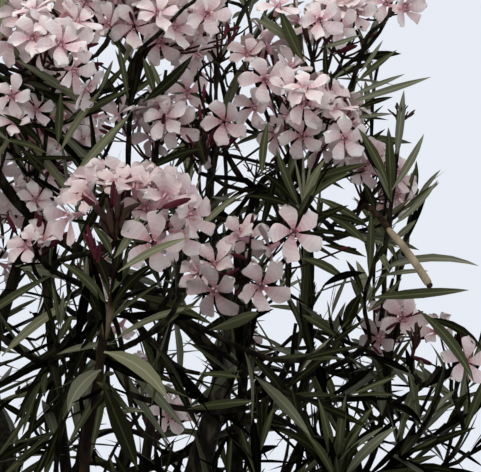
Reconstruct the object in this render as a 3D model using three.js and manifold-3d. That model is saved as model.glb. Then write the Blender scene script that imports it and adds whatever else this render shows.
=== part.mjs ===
import * as THREE from 'three';
import { mergeVertices } from 'three/addons/utils/BufferGeometryUtils.js';
import Module from 'manifold-3d';

// An oleander kept as a bushy shrub in a plain clay pot. Millimetres, Z up.
// The origin is the centre of the pot's flat underside, and the front of the plant faces -Y.

const wasm = await Module();
wasm.setup();

// Pot and soil
const potHeight = 400;
const potRimRadius = 225;
const potFootRadius = 165;
const potWall = 15;
const potFloor = 20;
const rimBandHeight = 50;
const rimBandStep = 10;
const rimEdge = 4;
const potSides = 32;
const soilBelowRim = 35;
const soilHeight = potHeight - soilBelowRim;
const innerFoot = potFootRadius - potWall;
const innerTop = potRimRadius - rimBandStep - potWall;

// Clearance that seated pieces keep to each other
const seatGap = 0.3;

// Crown: an egg-shaped space that every leaf and flower stays inside
const crownCentre = new THREE.Vector3(0, 0, 1300);
const crownReach = new THREE.Vector3(590, 580, 620);

// Main stems, thickest at the foot. angle is the compass direction of the lean in degrees,
// footSpread and forkSpread are distances from the plant's axis, forkHeight is above the pot's underside.
const mainStems = [
  { angle: -28, footSpread: 50, forkSpread: 318, forkHeight: 1290, footRadius: 18 },
  { angle: 95, footSpread: 45, forkSpread: 120, forkHeight: 1120, footRadius: 18 },
  { angle: 205, footSpread: 50, forkSpread: 130, forkHeight: 1060, footRadius: 18 },
  { angle: -68, footSpread: 115, forkSpread: 235, forkHeight: 770, footRadius: 16 },
  { angle: 5, footSpread: 110, forkSpread: 225, forkHeight: 730, footRadius: 16 },
  { angle: 60, footSpread: 120, forkSpread: 220, forkHeight: 760, footRadius: 16 },
  { angle: 140, footSpread: 115, forkSpread: 230, forkHeight: 740, footRadius: 16 },
  { angle: 235, footSpread: 115, forkSpread: 215, forkHeight: 750, footRadius: 16 },
];
const stemTaper = 0.66;
const rootFlare = 0.55;
const flareLength = 26;
const forkLean = 0.25;
const curvePull = 0.36;
const stemSides = 8;
const stemRings = 5;
const ringCrowding = 1.5;

// Boughs: one for each mass of foliage, carried by the main stems
const leaderShare = 0.9;
const sideFootRadius = 6.6;
const sideThickening = 0.004;
const firstSideDrop = 50;
const nextSideDrop = 24;
const flatWayCost = 2.4;
const flatWayRise = 0.12;
const boughTipRadius = 4.8;
const boughSides = 6;
const boughRings = 4;
const boughsOnOneStem = 3;
const boughClearance = 4;
const routeTurns = 9;
const boughSwing = 0.22;
const nextBoughSwing = 0.1;
const boughTurn = 90;
const pointsAtFoot = 3;

// Masses of foliage, spread evenly round the crown
const massCount = 22;
const firstSeed = 101;
const massShare = 0.66;
const lowestMass = -0.74;
const massTurn = THREE.MathUtils.degToRad(-54);
const massMargin = 0.6;
const boughShortOfCentre = 80;
const massStemLength = 55;
const limbClearance = 1;
const outwardPull = 0.6;
const upwardPull = 0.85;

// Shoots: each ends in a whorl of leaves or a head of flowers.
// The first ones are the flowering shoots of the front, at their places in the crown.
const frontShoots = [
  [185, -490, 1295], [90, -415, 1295], [285, -290, 1305], [340, -280, 1335], [350, -285, 1475],
  [240, -265, 1470], [265, -190, 1590], [180, -305, 1555], [75, -350, 1530], [40, -95, 1550],
  [85, -30, 1495], [390, -250, 1580], [430, -150, 1440], [445, -230, 1260], [480, -260, 1205],
  [190, 50, 1195],
].map(([x, y, z]) => new THREE.Vector3(x, y, z));
const otherShootCount = 72;
const lowestShoot = -0.9;
const shootShares = [0.9, 0.76, 0.88, 0.6];
const shootSpacing = 120;
const shootToWall = 48;
const shootTurn = 0.4;
const settleTries = 12;
const settleStep = 0.08;
const flowersAbove = -0.25;
const leafyEvery = 3;

// Twigs, leaves and flowers
const twigFootRadius = 5;
const twigTipRadius = 3.6;
const twigSides = 3;
const twigRings = 2;
const twigSwing = 0.5;
const twigTurn = 45;
const twigPoints = 12;
const twigSink = 1;
const twigAlongJoint = 0.5;
const twigTowardsTip = 0.5;
const liftOnTheLevel = 0.6;
const leastLift = 0.15;
const jointBelowTip = 20;
const jointsTried = 3;
const jointShares = [0.35, 0.6];
const whorlSteps = [34, 92, 150];
const whorlAngles = [36, 60, 84];
const belowFlowers = 14;
const aboveShootTip = 20;
const leafyShare = 0.8;
const leavesInWhorl = 3;
const leafLength = 172;
const leafWidth = 34;
const leafKeel = 4;
const leafNeck = 0.14;
const leafBelly = 0.45;
const leafDroop = 0.12;
const leafToLeaf = 17;
const leafToTwig = 11;
const leafTries = 5;
const turnPerTry = 0.13;
const closePerTry = 7;
const shortenPerTry = 0.09;
const neckShare = 0.2;
const flowersInHead = 3;
const lobes = 5;
const petalReach = 33;
const petalNotch = 10;
const flowerTube = 46;
const throatDepth = 9;
const notchDepth = 11;
const headSpread = 62;
const seamTolerance = 0.1;

const goldenAngle = Math.PI * (3 - Math.sqrt(5));
const up = new THREE.Vector3(0, 0, 1);

const colours = { clay: 0x9a6a52, soil: 0x3a2d24, stem: 0x5a4c40, bough: 0x5c5a42, foliage: 0x3f4f38 };

// A seeded row of numbers between 0 and 1.
function makeRandom(seed) {
  let state = seed;
  return () => {
    state = (Math.imul(state, 1664525) + 1013904223) >>> 0;
    return state / 4294967296;
  };
}

function compass(degrees, distance, height) {
  const angle = THREE.MathUtils.degToRad(degrees);
  return new THREE.Vector3(distance * Math.cos(angle), distance * Math.sin(angle), height);
}

// Even directions over a ball, from its top down to a lowest height.
function evenDirection(index, count, lowest, turn) {
  const height = 1 - ((1 - lowest) * (index + 0.5)) / count;
  const flat = Math.sqrt(1 - height * height);
  const angle = index * goldenAngle + turn;
  return new THREE.Vector3(flat * Math.cos(angle), flat * Math.sin(angle), height);
}

function inCrown(direction, share) {
  return direction.clone().multiply(crownReach).multiplyScalar(share).add(crownCentre);
}

function crownShare(point) {
  return point.clone().sub(crownCentre).divide(crownReach).length();
}

// The way a shoot points at a place in the crown: upright inside, leaning out near the edge.
function growthDirection(point) {
  const outward = point.clone().sub(crownCentre).divide(crownReach);
  return outward.multiplyScalar(outwardPull).addScaledVector(up, upwardPull).normalize();
}

// Solids and meshes
function solidOf(geometry) {
  const bare = geometry.clone();
  bare.deleteAttribute('normal');
  bare.deleteAttribute('uv');
  const merged = mergeVertices(bare);
  const mesh = new wasm.Mesh({
    numProp: 3,
    vertProperties: new Float32Array(merged.attributes.position.array),
    triVerts: new Uint32Array(merged.index.array),
  });
  return new wasm.Manifold(mesh);
}

function geometryOf(solid) {
  const mesh = solid.getMesh();
  const geometry = new THREE.BufferGeometry();
  geometry.setAttribute('position', new THREE.BufferAttribute(mesh.vertProperties, 3));
  geometry.setIndex(new THREE.BufferAttribute(mesh.triVerts, 1));
  geometry.computeVertexNormals();
  return geometry;
}

function largestBody(solid) {
  return solid.decompose().reduce((best, piece) => (piece.volume() > best.volume() ? piece : best));
}

function namedMesh(name, geometry, colour, roughness) {
  const look = { color: colour, roughness, metalness: 0, flatShading: true };
  const material = new THREE.MeshStandardMaterial(look);
  const mesh = new THREE.Mesh(geometry, material);
  mesh.name = name;
  return mesh;
}

// Limbs: a round tapering rod along a curve, with an optional flare at its foot
function makeLimb(start, startDirection, end, endDirection, footRadius, tipRadius, flare = 0) {
  const pull = start.distanceTo(end) * curvePull;
  const curve = new THREE.CubicBezierCurve3(
    start,
    start.clone().addScaledVector(startDirection, pull),
    end.clone().addScaledVector(endDirection, -pull),
    end,
  );
  const length = curve.getLength();
  const radiusAt = (share) => {
    const plain = footRadius + (tipRadius - footRadius) * share;
    return plain * (1 + flare * Math.exp((-share * length) / flareLength));
  };
  return { curve, length, radiusAt };
}

function limbPoints(limb, count = 20) {
  const shares = Array.from({ length: count + 1 }, (_, i) => i / count);
  return shares.map((share) => ({ at: limb.curve.getPoint(share), radius: limb.radiusAt(share) }));
}

function limbGeometry(limb, sides, rings, grown = 0) {
  const geometry = new THREE.CylinderGeometry(1, 1, 1, sides, rings);
  const frames = [];
  let side = new THREE.Vector3(1, 0, 0);
  for (let i = 0; i <= rings; i += 1) {
    const share = (i / rings) ** ringCrowding;
    const along = limb.curve.getTangent(share);
    side = side.clone().addScaledVector(along, -side.dot(along)).normalize();
    const beyond = i === 0 ? -grown : i === rings ? grown : 0;
    const at = limb.curve.getPoint(share).addScaledVector(along, beyond);
    frames.push({ at, side, other: side.clone().cross(along), radius: limb.radiusAt(share) + grown });
  }
  const corners = geometry.attributes.position;
  for (let i = 0; i < corners.count; i += 1) {
    const frame = frames[Math.round((corners.getY(i) + 0.5) * rings)];
    const corner = frame.at.clone();
    corner.addScaledVector(frame.side, corners.getX(i) * frame.radius);
    corner.addScaledVector(frame.other, corners.getZ(i) * frame.radius);
    corners.setXYZ(i, corner.x, corner.y, corner.z);
  }
  return geometry;
}

// Free space between a ball at a point and the nearest of the limbs
function gapToLimbs(point, radius, limbs) {
  let gap = Infinity;
  for (const limb of limbs) {
    for (let i = 1; i < limb.points.length; i += 1) {
      const from = limb.points[i - 1];
      const to = limb.points[i];
      const line = to.at.clone().sub(from.at);
      const share = THREE.MathUtils.clamp(point.clone().sub(from.at).dot(line) / line.lengthSq(), 0, 1);
      const near = from.at.clone().addScaledVector(line, share);
      const reach = from.radius + (to.radius - from.radius) * share;
      gap = Math.min(gap, near.distanceTo(point) - reach - radius);
    }
  }
  return gap;
}

// Pot: a plain tapering clay pot with a band at its rim, and the soil that fills it
function potGeometry() {
  const wallRadius = (height) => potFootRadius
    + ((potRimRadius - rimBandStep - potFootRadius) * height) / (potHeight - rimBandHeight);
  const bandFoot = potHeight - rimBandHeight;
  const profile = [
    new THREE.Vector2(0, 0),
    new THREE.Vector2(potFootRadius, 0),
    new THREE.Vector2(wallRadius(bandFoot), bandFoot),
    new THREE.Vector2(potRimRadius, bandFoot + rimEdge / 2),
    new THREE.Vector2(potRimRadius, potHeight - rimEdge),
    new THREE.Vector2(potRimRadius - rimEdge, potHeight),
    new THREE.Vector2(innerTop + rimEdge, potHeight),
    new THREE.Vector2(innerTop, potHeight - rimEdge),
    new THREE.Vector2(innerFoot, potFloor),
    new THREE.Vector2(0, potFloor),
  ];
  return new THREE.LatheGeometry(profile, potSides).rotateX(Math.PI / 2);
}

function soilGeometry() {
  const innerRadius = (height) => innerFoot
    + ((innerTop - innerFoot) * (height - potFloor)) / (potHeight - rimEdge - potFloor);
  const foot = potFloor + seatGap;
  const clear = seatGap * 2;
  const profile = [
    new THREE.Vector2(0, foot),
    new THREE.Vector2(innerRadius(foot) - clear, foot),
    new THREE.Vector2(innerRadius(soilHeight) - clear, soilHeight),
    new THREE.Vector2(0, soilHeight),
  ];
  return new THREE.LatheGeometry(profile, potSides).rotateX(Math.PI / 2);
}

// Main stems stand upright on the soil and lean out to their forks
function growStem(row) {
  const foot = compass(row.angle, row.footSpread, soilHeight + seatGap);
  const fork = compass(row.angle, row.forkSpread, row.forkHeight);
  const lean = compass(row.angle, forkLean, 1).normalize();
  const limb = makeLimb(foot, up, fork, lean, row.footRadius, row.footRadius * stemTaper, rootFlare);
  return { ...limb, fork, points: limbPoints(limb), boughs: [] };
}

// Each mass takes its bough from the stem that reaches it best
function shareOutMasses(masses, stems) {
  const pairs = masses.flatMap((mass) => stems.map((stem) => {
    const way = mass.entry.clone().sub(stem.fork);
    const rise = way.z / Math.max(1, Math.hypot(way.x, way.y));
    return { mass, stem, cost: way.length() * (rise < flatWayRise ? flatWayCost : 1) };
  }));
  pairs.sort((a, b) => a.cost - b.cost);
  for (const { mass, stem } of pairs) {
    if (!mass.stem && stem.boughs.length < boughsOnOneStem) {
      mass.stem = stem;
      stem.boughs.push(mass);
    }
  }
}

function makeMasses() {
  return Array.from({ length: massCount }, (_, index) => {
    const centre = inCrown(evenDirection(index, massCount, lowestMass, massTurn), massShare);
    const heading = growthDirection(centre);
    const entry = centre.clone().addScaledVector(heading, -boughShortOfCentre);
    return { index, centre, heading, entry, shoots: [] };
  });
}

// The leader of a fork stands on the stem's tip; the others leave its side, one below the other.
function growBoughs(stem, limbs) {
  const tipDirection = stem.curve.getTangent(1);
  const spread = (mass) => mass.entry.clone().sub(stem.fork).normalize().dot(tipDirection);
  const ordered = [...stem.boughs].sort((a, b) => spread(b) - spread(a));
  ordered.forEach((mass, order) => {
    const drop = firstSideDrop + nextSideDrop * (order - 1);
    const share = order === 0 ? 1 : 1 - drop / stem.length;
    const start = stem.curve.getPoint(share);
    const along = stem.curve.getTangent(share);
    const toMass = mass.entry.clone().sub(start).normalize();
    const leaving = order === 0 ? along : along.clone().multiplyScalar(0.5).add(toMass).normalize();
    if (order === 0) {
      start.addScaledVector(along, seatGap);
    }
    const footRadius = order === 0
      ? stem.radiusAt(1) * leaderShare
      : sideFootRadius + start.distanceTo(mass.entry) * sideThickening;
    mass.bough = clearRoute(mass, start, leaving, footRadius, limbs.filter((limb) => limb !== stem));
    mass.bough.order = order;
    limbs.push(mass.bough);
  });
}

// Of several ways to swing out on the way to the mass, the one that keeps clearest of other limbs
function clearRoute(mass, start, leaving, footRadius, limbs) {
  let best = null;
  for (let turn = 0; turn < routeTurns; turn += 1) {
    const rounds = Math.floor(((turn - 1) * boughTurn) / 360);
    const swing = turn === 0 ? 0 : boughSwing + nextBoughSwing * rounds;
    const side = compass(turn * boughTurn, swing, 0);
    const arriving = mass.heading.clone().add(side).normalize();
    const limb = makeLimb(start, leaving, mass.entry, arriving, footRadius, boughTipRadius);
    limb.points = limbPoints(limb);
    const free = limb.points.slice(pointsAtFoot);
    limb.gap = Math.min(...free.map((point) => gapToLimbs(point.at, point.radius, limbs)));
    limb.arriving = arriving;
    if (!best || limb.gap > best.gap) {
      best = limb;
    }
    if (best.gap > boughClearance) {
      break;
    }
  }
  return best;
}

// A mass keeps to the points that are nearer to its centre than to any other's
function roomInMass(point, mass, masses) {
  let room = Infinity;
  for (const other of masses) {
    if (other !== mass) {
      const across = other.centre.clone().sub(mass.centre);
      const middle = mass.centre.clone().add(other.centre).multiplyScalar(0.5);
      room = Math.min(room, middle.sub(point).dot(across) / across.length());
    }
  }
  return room;
}

function nearestMass(point, masses) {
  return masses.reduce((best, mass) => (
    mass.centre.distanceTo(point) < best.centre.distanceTo(point) ? mass : best));
}

// A shoot too near the wall of its mass is moved in, so that its leaves have room
function settleShoot(tip, mass, masses) {
  const settled = tip.clone();
  for (let tries = 0; tries < settleTries; tries += 1) {
    if (roomInMass(settled, mass, masses) < shootToWall) {
      settled.lerp(mass.centre, settleStep);
    }
  }
  return settled;
}

function placeShoots(masses) {
  const tips = [...frontShoots];
  for (let index = 0; index < otherShootCount; index += 1) {
    const direction = evenDirection(index, otherShootCount, lowestShoot, shootTurn);
    const tip = inCrown(direction, shootShares[index % shootShares.length]);
    if (tips.every((other) => other.distanceTo(tip) > shootSpacing)) {
      tips.push(tip);
    }
  }
  tips.forEach((tip, index) => {
    const mass = nearestMass(tip, masses);
    const place = settleShoot(tip, mass, masses);
    const high = (tip.z - crownCentre.z) / crownReach.z > flowersAbove;
    const blooms = index < frontShoots.length || (high && index % leafyEvery !== 0);
    mass.shoots.push({ tip: place, blooms });
  });
}

// A twig from a joint to a shoot's tip, swung aside until it is clear of every limb.
// One that hangs down turns up less at its tip.
function routeTwig(joint, shoot, mass, masses, limbWall) {
  const toTip = shoot.tip.clone().sub(joint.at).normalize();
  const start = joint.at.clone().addScaledVector(toTip, -twigSink);
  for (let turn = 0; turn < routeTurns; turn += 1) {
    const side = compass(turn * twigTurn, turn === 0 ? 0 : twigSwing, 0);
    const leaving = toTip.clone().addScaledVector(joint.along, twigAlongJoint).add(side).normalize();
    const lift = THREE.MathUtils.clamp(toTip.z + liftOnTheLevel, leastLift, 1);
    const upward = growthDirection(shoot.tip).multiplyScalar(lift);
    const arriving = upward.addScaledVector(toTip, twigTowardsTip).add(side).normalize();
    const twig = makeLimb(start, leaving, shoot.tip, arriving, twigFootRadius, twigTipRadius);
    const inside = limbPoints(twig, twigPoints).every(({ at, radius }) => (
      roomInMass(at, mass, masses) > radius + massMargin));
    if (inside && limbWall.intersect(solidOf(limbGeometry(twig, twigSides, twigRings))).isEmpty()) {
      return { ...twig, shoot };
    }
  }
  return null;
}

// A twig leaves the nearest point of the twigs already there, below its own tip
function growTwigs(mass, masses, limbWall) {
  const foot = mass.entry.clone().addScaledVector(mass.bough.arriving, seatGap);
  const hub = foot.clone().addScaledVector(mass.bough.arriving, massStemLength);
  const heading = mass.bough.arriving;
  const stem = makeLimb(foot, heading, hub, heading, boughTipRadius, twigFootRadius);
  const twigs = [{ ...stem, foot: true }];
  const joints = [{ at: hub, along: mass.bough.arriving }];
  const ordered = [...mass.shoots].sort((a, b) => a.tip.distanceTo(hub) - b.tip.distanceTo(hub));
  for (const shoot of ordered) {
    const below = joints.filter((joint) => joint.at.z < shoot.tip.z - jointBelowTip || joint === joints[0]);
    below.sort((a, b) => a.at.distanceTo(shoot.tip) - b.at.distanceTo(shoot.tip));
    const twig = below.slice(0, jointsTried).reduce((found, joint) => (
      found || routeTwig(joint, shoot, mass, masses, limbWall)), null);
    if (twig) {
      twigs.push(twig);
      for (const share of jointShares) {
        joints.push({ at: twig.curve.getPoint(share), along: twig.curve.getTangent(share) });
      }
    }
  }
  return twigs;
}

// A leaf: a long blade with a narrow neck, a keel below and a drooping tip
function leafGeometry(root, along, face, length) {
  const across = face.clone().cross(along);
  const geometry = new THREE.ConeGeometry(1, 1, 3, 2);
  const corners = geometry.attributes.position;
  for (let i = 0; i < corners.count; i += 1) {
    const ring = Math.round(corners.getY(i) * 2);
    const share = ring < 0 ? 0 : ring === 0 ? leafBelly : 1;
    const width = ring < 0 ? leafNeck : ring === 0 ? 1 : 0;
    const isKeel = Math.abs(corners.getX(i)) < 0.01 && corners.getZ(i) > 0.1;
    const side = isKeel ? 0 : Math.sign(Math.round(corners.getX(i) * 10));
    const corner = root.clone().addScaledVector(along, length * share);
    corner.addScaledVector(across, (side * width * leafWidth) / 2);
    corner.addScaledVector(face, isKeel ? -leafKeel * Math.max(width, 0.4) : 0);
    corner.addScaledVector(up, ring > 0 ? -length * leafDroop : 0);
    corners.setXYZ(i, corner.x, corner.y, corner.z);
  }
  return geometry;
}

// A flower: five flat lobes round a sunken throat, on a tube that narrows to its foot
function flowerGeometry(foot, facing, turn) {
  const side = new THREE.Vector3(1, 0, 0).cross(facing).normalize();
  const other = side.clone().cross(facing).negate();
  const corners = [];
  const addCorner = (height, reach, angle) => {
    const corner = foot.clone().addScaledVector(facing, height);
    corner.addScaledVector(side, reach * Math.cos(angle));
    corner.addScaledVector(other, reach * Math.sin(angle));
    corners.push(...corner.toArray());
  };
  addCorner(0, 0, 0);
  addCorner(flowerTube - throatDepth, 0, 0);
  const faces = [];
  for (let lobe = 0; lobe < lobes; lobe += 1) {
    const angle = turn + (lobe * Math.PI * 2) / lobes;
    addCorner(flowerTube - notchDepth, petalNotch, angle);
    addCorner(flowerTube, petalReach, angle + Math.PI / lobes);
    const notch = 2 + lobe * 2;
    const tip = notch + 1;
    const nextNotch = 2 + ((lobe + 1) % lobes) * 2;
    faces.push(0, nextNotch, notch, notch, nextNotch, tip, 1, notch, tip, 1, tip, nextNotch);
  }
  const geometry = new THREE.BufferGeometry();
  geometry.setAttribute('position', new THREE.Float32BufferAttribute(corners, 3));
  geometry.setIndex(faces);
  return geometry;
}

// The solid of a piece, or null where it leaves its mass's space or the crown, or comes near a limb
function fittingSolid(geometry, mass, masses, limbWall) {
  const corners = geometry.attributes.position;
  for (let i = 0; i < corners.count; i += 1) {
    const corner = new THREE.Vector3().fromBufferAttribute(corners, i);
    if (crownShare(corner) > 1 || roomInMass(corner, mass, masses) < massMargin) {
      return null;
    }
  }
  const solid = solidOf(geometry);
  return limbWall.intersect(solid).isEmpty() ? solid : null;
}

// Leaves, flowers and twigs of one mass don't run through each other
function clearOfOthers(lines, others) {
  return others.every((other) => lines.every((line) => (
    Math.sqrt(line.distanceSqToLine3(other.line)) > other.width)));
}

function twigLines(twig) {
  const points = [0, 0.25, 0.5, 0.75, 1].map((share) => twig.curve.getPoint(share));
  return points.slice(1).map((point, i) => ({
    line: new THREE.Line3(points[i], point), width: leafToTwig, twig,
  }));
}

function addLeaves(twig, mass, masses, limbWall, random, pieces, others) {
  whorlSteps.forEach((step, order) => {
    const back = twig.shoot.blooms ? step + belowFlowers : step - aboveShootTip;
    if (back > twig.length * leafyShare) {
      return;
    }
    const share = 1 - back / twig.length;
    const at = twig.curve.getPoint(share);
    const along = twig.curve.getTangent(share);
    const side = new THREE.Vector3(1, 0, 0).cross(along).normalize();
    const firstTurn = random() * Math.PI * 2;
    for (let leaf = 0; leaf < leavesInWhorl; leaf += 1) {
      for (let tries = 0; tries < leafTries; tries += 1) {
        const turn = firstTurn + ((leaf + turnPerTry * tries) * Math.PI * 2) / leavesInWhorl;
        const open = THREE.MathUtils.degToRad(whorlAngles[order] - closePerTry * tries);
        const outward = side.clone().applyAxisAngle(along, turn);
        const heading = along.clone().multiplyScalar(Math.cos(open));
        heading.addScaledVector(outward, Math.sin(open)).normalize();
        const face = along.clone().addScaledVector(heading, -along.dot(heading)).normalize();
        const length = leafLength * (1 - shortenPerTry * tries);
        const neck = at.clone().addScaledVector(heading, length * neckShare);
        const belly = at.clone().addScaledVector(heading, length * leafBelly);
        const tip = at.clone().addScaledVector(heading, length).addScaledVector(up, -length * leafDroop);
        const lines = [new THREE.Line3(neck, belly), new THREE.Line3(belly, tip)];
        const strange = others.filter((other) => other.twig !== twig);
        const blade = clearOfOthers(lines, strange)
          && fittingSolid(leafGeometry(at, heading, face, length), mass, masses, limbWall);
        if (blade) {
          pieces.push(blade);
          lines.forEach((line) => others.push({ line, width: leafToLeaf }));
          break;
        }
      }
    }
  });
}

function addFlowers(twig, mass, masses, limbWall, random, pieces, others) {
  const facing = twig.curve.getTangent(1);
  const side = new THREE.Vector3(1, 0, 0).cross(facing).normalize();
  const foot = twig.shoot.tip.clone().addScaledVector(facing, -twigTipRadius);
  const firstTurn = random() * Math.PI * 2;
  for (let order = 0; order < flowersInHead; order += 1) {
    const turn = firstTurn + (order * Math.PI * 2) / flowersInHead;
    const open = THREE.MathUtils.degToRad(headSpread);
    const outward = side.clone().applyAxisAngle(facing, turn);
    const heading = facing.clone().multiplyScalar(Math.cos(open)).addScaledVector(outward, Math.sin(open));
    const flower = fittingSolid(flowerGeometry(foot, heading.normalize(), turn), mass, masses, limbWall);
    if (flower) {
      const face = foot.clone().addScaledVector(heading, flowerTube);
      pieces.push(flower);
      others.push({ line: new THREE.Line3(foot, face), width: petalReach });
    }
  }
}

function growMass(mass, masses, limbWall) {
  const random = makeRandom(firstSeed + mass.index);
  const pieces = [];
  const twigs = growTwigs(mass, masses, limbWall);
  const others = twigs.flatMap(twigLines);
  for (const twig of twigs) {
    pieces.push(solidOf(limbGeometry(twig, twig.foot ? boughSides : twigSides, twig.foot ? 1 : twigRings)));
  }
  for (const twig of twigs.filter((each) => each.shoot && each.shoot.blooms)) {
    addFlowers(twig, mass, masses, limbWall, random, pieces, others);
  }
  for (const twig of twigs.filter((each) => each.shoot)) {
    addLeaves(twig, mass, masses, limbWall, random, pieces, others);
  }
  const whole = wasm.Manifold.union(pieces).asOriginal().simplify(seamTolerance);
  return geometryOf(largestBody(whole));
}

// A side bough is cut to the stem that it leaves, and to the boughs beside it
function boughGeometry(mass) {
  const whole = limbGeometry(mass.bough, boughSides, boughRings);
  if (mass.bough.order === 0) {
    return whole;
  }
  const stem = solidOf(limbGeometry(mass.stem, stemSides, stemRings, seatGap));
  const elders = mass.stem.boughs
    .filter((other) => other.bough.order < mass.bough.order)
    .map((other) => solidOf(limbGeometry(other.bough, boughSides, boughRings, seatGap)));
  return geometryOf(largestBody(solidOf(whole).subtract(wasm.Manifold.union([stem, ...elders]))));
}

function buildPlant() {
  const plant = new THREE.Group();
  plant.add(namedMesh('pot', potGeometry(), colours.clay, 0.85));
  plant.add(namedMesh('soil', soilGeometry(), colours.soil, 1));
  const stems = mainStems.map(growStem);
  const masses = makeMasses();
  shareOutMasses(masses, stems);
  placeShoots(masses);
  const limbs = [...stems];
  stems.forEach((stem) => growBoughs(stem, limbs));
  const limbWall = wasm.Manifold.union([
    ...stems.map((stem) => solidOf(limbGeometry(stem, stemSides, stemRings, limbClearance))),
    ...masses.map((mass) => solidOf(limbGeometry(mass.bough, boughSides, boughRings, limbClearance))),
  ]);
  stems.forEach((stem, index) => {
    const geometry = limbGeometry(stem, stemSides, stemRings);
    plant.add(namedMesh(`stem_${index + 1}`, geometry, colours.stem, 0.8));
  });
  masses.forEach((mass, index) => {
    plant.add(namedMesh(`bough_${index + 1}`, boughGeometry(mass), colours.bough, 0.7));
  });
  masses.forEach((mass, index) => {
    const geometry = growMass(mass, masses, limbWall);
    plant.add(namedMesh(`foliage_${index + 1}`, geometry, colours.foliage, 0.6));
  });
  return plant;
}

export default buildPlant();
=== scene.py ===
import math

import bpy
import numpy as np
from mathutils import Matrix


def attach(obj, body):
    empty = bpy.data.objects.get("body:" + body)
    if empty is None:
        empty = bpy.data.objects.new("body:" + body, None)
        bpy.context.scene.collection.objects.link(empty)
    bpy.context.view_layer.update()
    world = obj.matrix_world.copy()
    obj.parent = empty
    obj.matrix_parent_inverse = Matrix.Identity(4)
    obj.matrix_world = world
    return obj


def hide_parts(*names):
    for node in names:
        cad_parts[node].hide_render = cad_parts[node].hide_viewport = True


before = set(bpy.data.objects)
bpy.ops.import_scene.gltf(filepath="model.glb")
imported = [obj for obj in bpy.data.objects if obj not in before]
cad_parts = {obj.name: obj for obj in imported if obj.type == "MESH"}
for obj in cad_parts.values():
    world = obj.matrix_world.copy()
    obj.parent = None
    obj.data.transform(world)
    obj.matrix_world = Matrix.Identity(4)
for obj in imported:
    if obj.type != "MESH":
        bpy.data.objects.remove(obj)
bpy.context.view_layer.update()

# An oleander in a clay pot, dressed round its solids. Metres, Z up; the front faces -Y.
MM = 0.001
UP = np.array([0.0, 0.0, 1.0])
FULL_TURN = 2 * math.pi
GOLDEN_ANGLE = math.pi * (3 - math.sqrt(5))

# Pot and soil, as the solids have them
POT_HEIGHT = 0.400
RIM_RADIUS = 0.225
FOOT_RADIUS = 0.165
POT_WALL = 0.015
POT_FLOOR = 0.020
RIM_BAND = 0.050
RIM_STEP = 0.010
SOIL_HEIGHT = POT_HEIGHT - 0.035

# Crown, main stems and boughs, grown by the same rule as the solids
SEAT_GAP = 0.0003
CROWN_CENTRE = np.array([0.0, 0.0, 1.300])
CROWN_REACH = np.array([0.590, 0.580, 0.620])
# compass angle of the lean, spread of the foot, spread of the fork, height of the fork, foot radius
MAIN_STEMS = [
    (-28, 0.050, 0.318, 1.290, 0.018),
    (95, 0.045, 0.120, 1.120, 0.018),
    (205, 0.050, 0.130, 1.060, 0.018),
    (-68, 0.115, 0.235, 0.770, 0.016),
    (5, 0.110, 0.225, 0.730, 0.016),
    (60, 0.120, 0.220, 0.760, 0.016),
    (140, 0.115, 0.230, 0.740, 0.016),
    (235, 0.115, 0.215, 0.750, 0.016),
]
STEM_TAPER = 0.66
ROOT_FLARE = 0.55
FLARE_LENGTH = 0.026
FORK_LEAN = 0.25
CURVE_PULL = 0.36
CURVE_SAMPLES = 201
OUTWARD_GROWTH = 0.6
UPWARD_GROWTH = 0.85
LEADER_SHARE = 0.9
SIDE_FOOT_RADIUS = 0.0066
SIDE_THICKENING = 0.004
SIDE_LEAN = 0.5
FIRST_SIDE_DROP = 0.050
NEXT_SIDE_DROP = 0.024
FLAT_WAY_COST = 2.4
FLAT_WAY_RISE = 0.12
BOUGH_TIP_RADIUS = 0.0048
BOUGHS_ON_ONE_STEM = 3
BOUGH_CLEARANCE = 0.004
GAP_SAMPLES = 21
SAMPLES_AT_FOOT = 3
ROUTE_TURNS = 9
FIRST_SWING = 0.22
NEXT_SWING = 0.1
MASS_COUNT = 22
MASS_SHARE = 0.66
LOWEST_MASS = -0.74
MASS_TURN = math.radians(-54)
MASS_STEM_LENGTH = 0.055
BOUGH_SHORT_OF_CENTRE = 0.080

# Twigs of the masses, which leave each other below their own tips
MASS_STEM_RADII = (BOUGH_TIP_RADIUS * 0.98, 0.0042)
MASS_STEM_SUNK = 0.004
TWIG_RADIUS = 0.0034
FINE_TWIG_RADIUS = 0.0026
TWIG_TIP_RADIUS = 0.0019
TWIG_SUNK = 0.002
TWIG_BEND = 0.6
TWIG_TIP_RISE = 0.35
TWIG_LIFT_FROM = -0.6
LEAST_TWIG_LIFT = 0.15
JOINT_SHARES = (0.25, 0.45, 0.65)
JOINT_DROP = 0.020
FLAT_TWIG_COST = 0.9

# Camera: the focus plane is 1.45 m away, and a millimetre there is a pixel of the view
VIEW_WIDTH = 481
VIEW_HEIGHT = 472
CAMERA_PLACE = np.array([0.280, -1.700, 0.960])
CAMERA_PITCH = math.radians(14.8)
FOCAL_PIXELS = 1450.0
SENSOR_WIDTH = 36.0
CLIP_END = 100.0

# Windows of the view: least and most column, least and most row, greatest distance
PLACED_HEADS = (-20, VIEW_WIDTH + 40, 90, VIEW_HEIGHT + 60, 1.85)
BEFORE_TOP_HEADS = (-80, VIEW_WIDTH, -220, 165, 1.52)
WHOLE_VIEW = (-20, VIEW_WIDTH + 20, -60, VIEW_HEIGHT + 40, math.inf)
AIRY_PART = (-20, VIEW_WIDTH + 20, -40, 255, math.inf)

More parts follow.
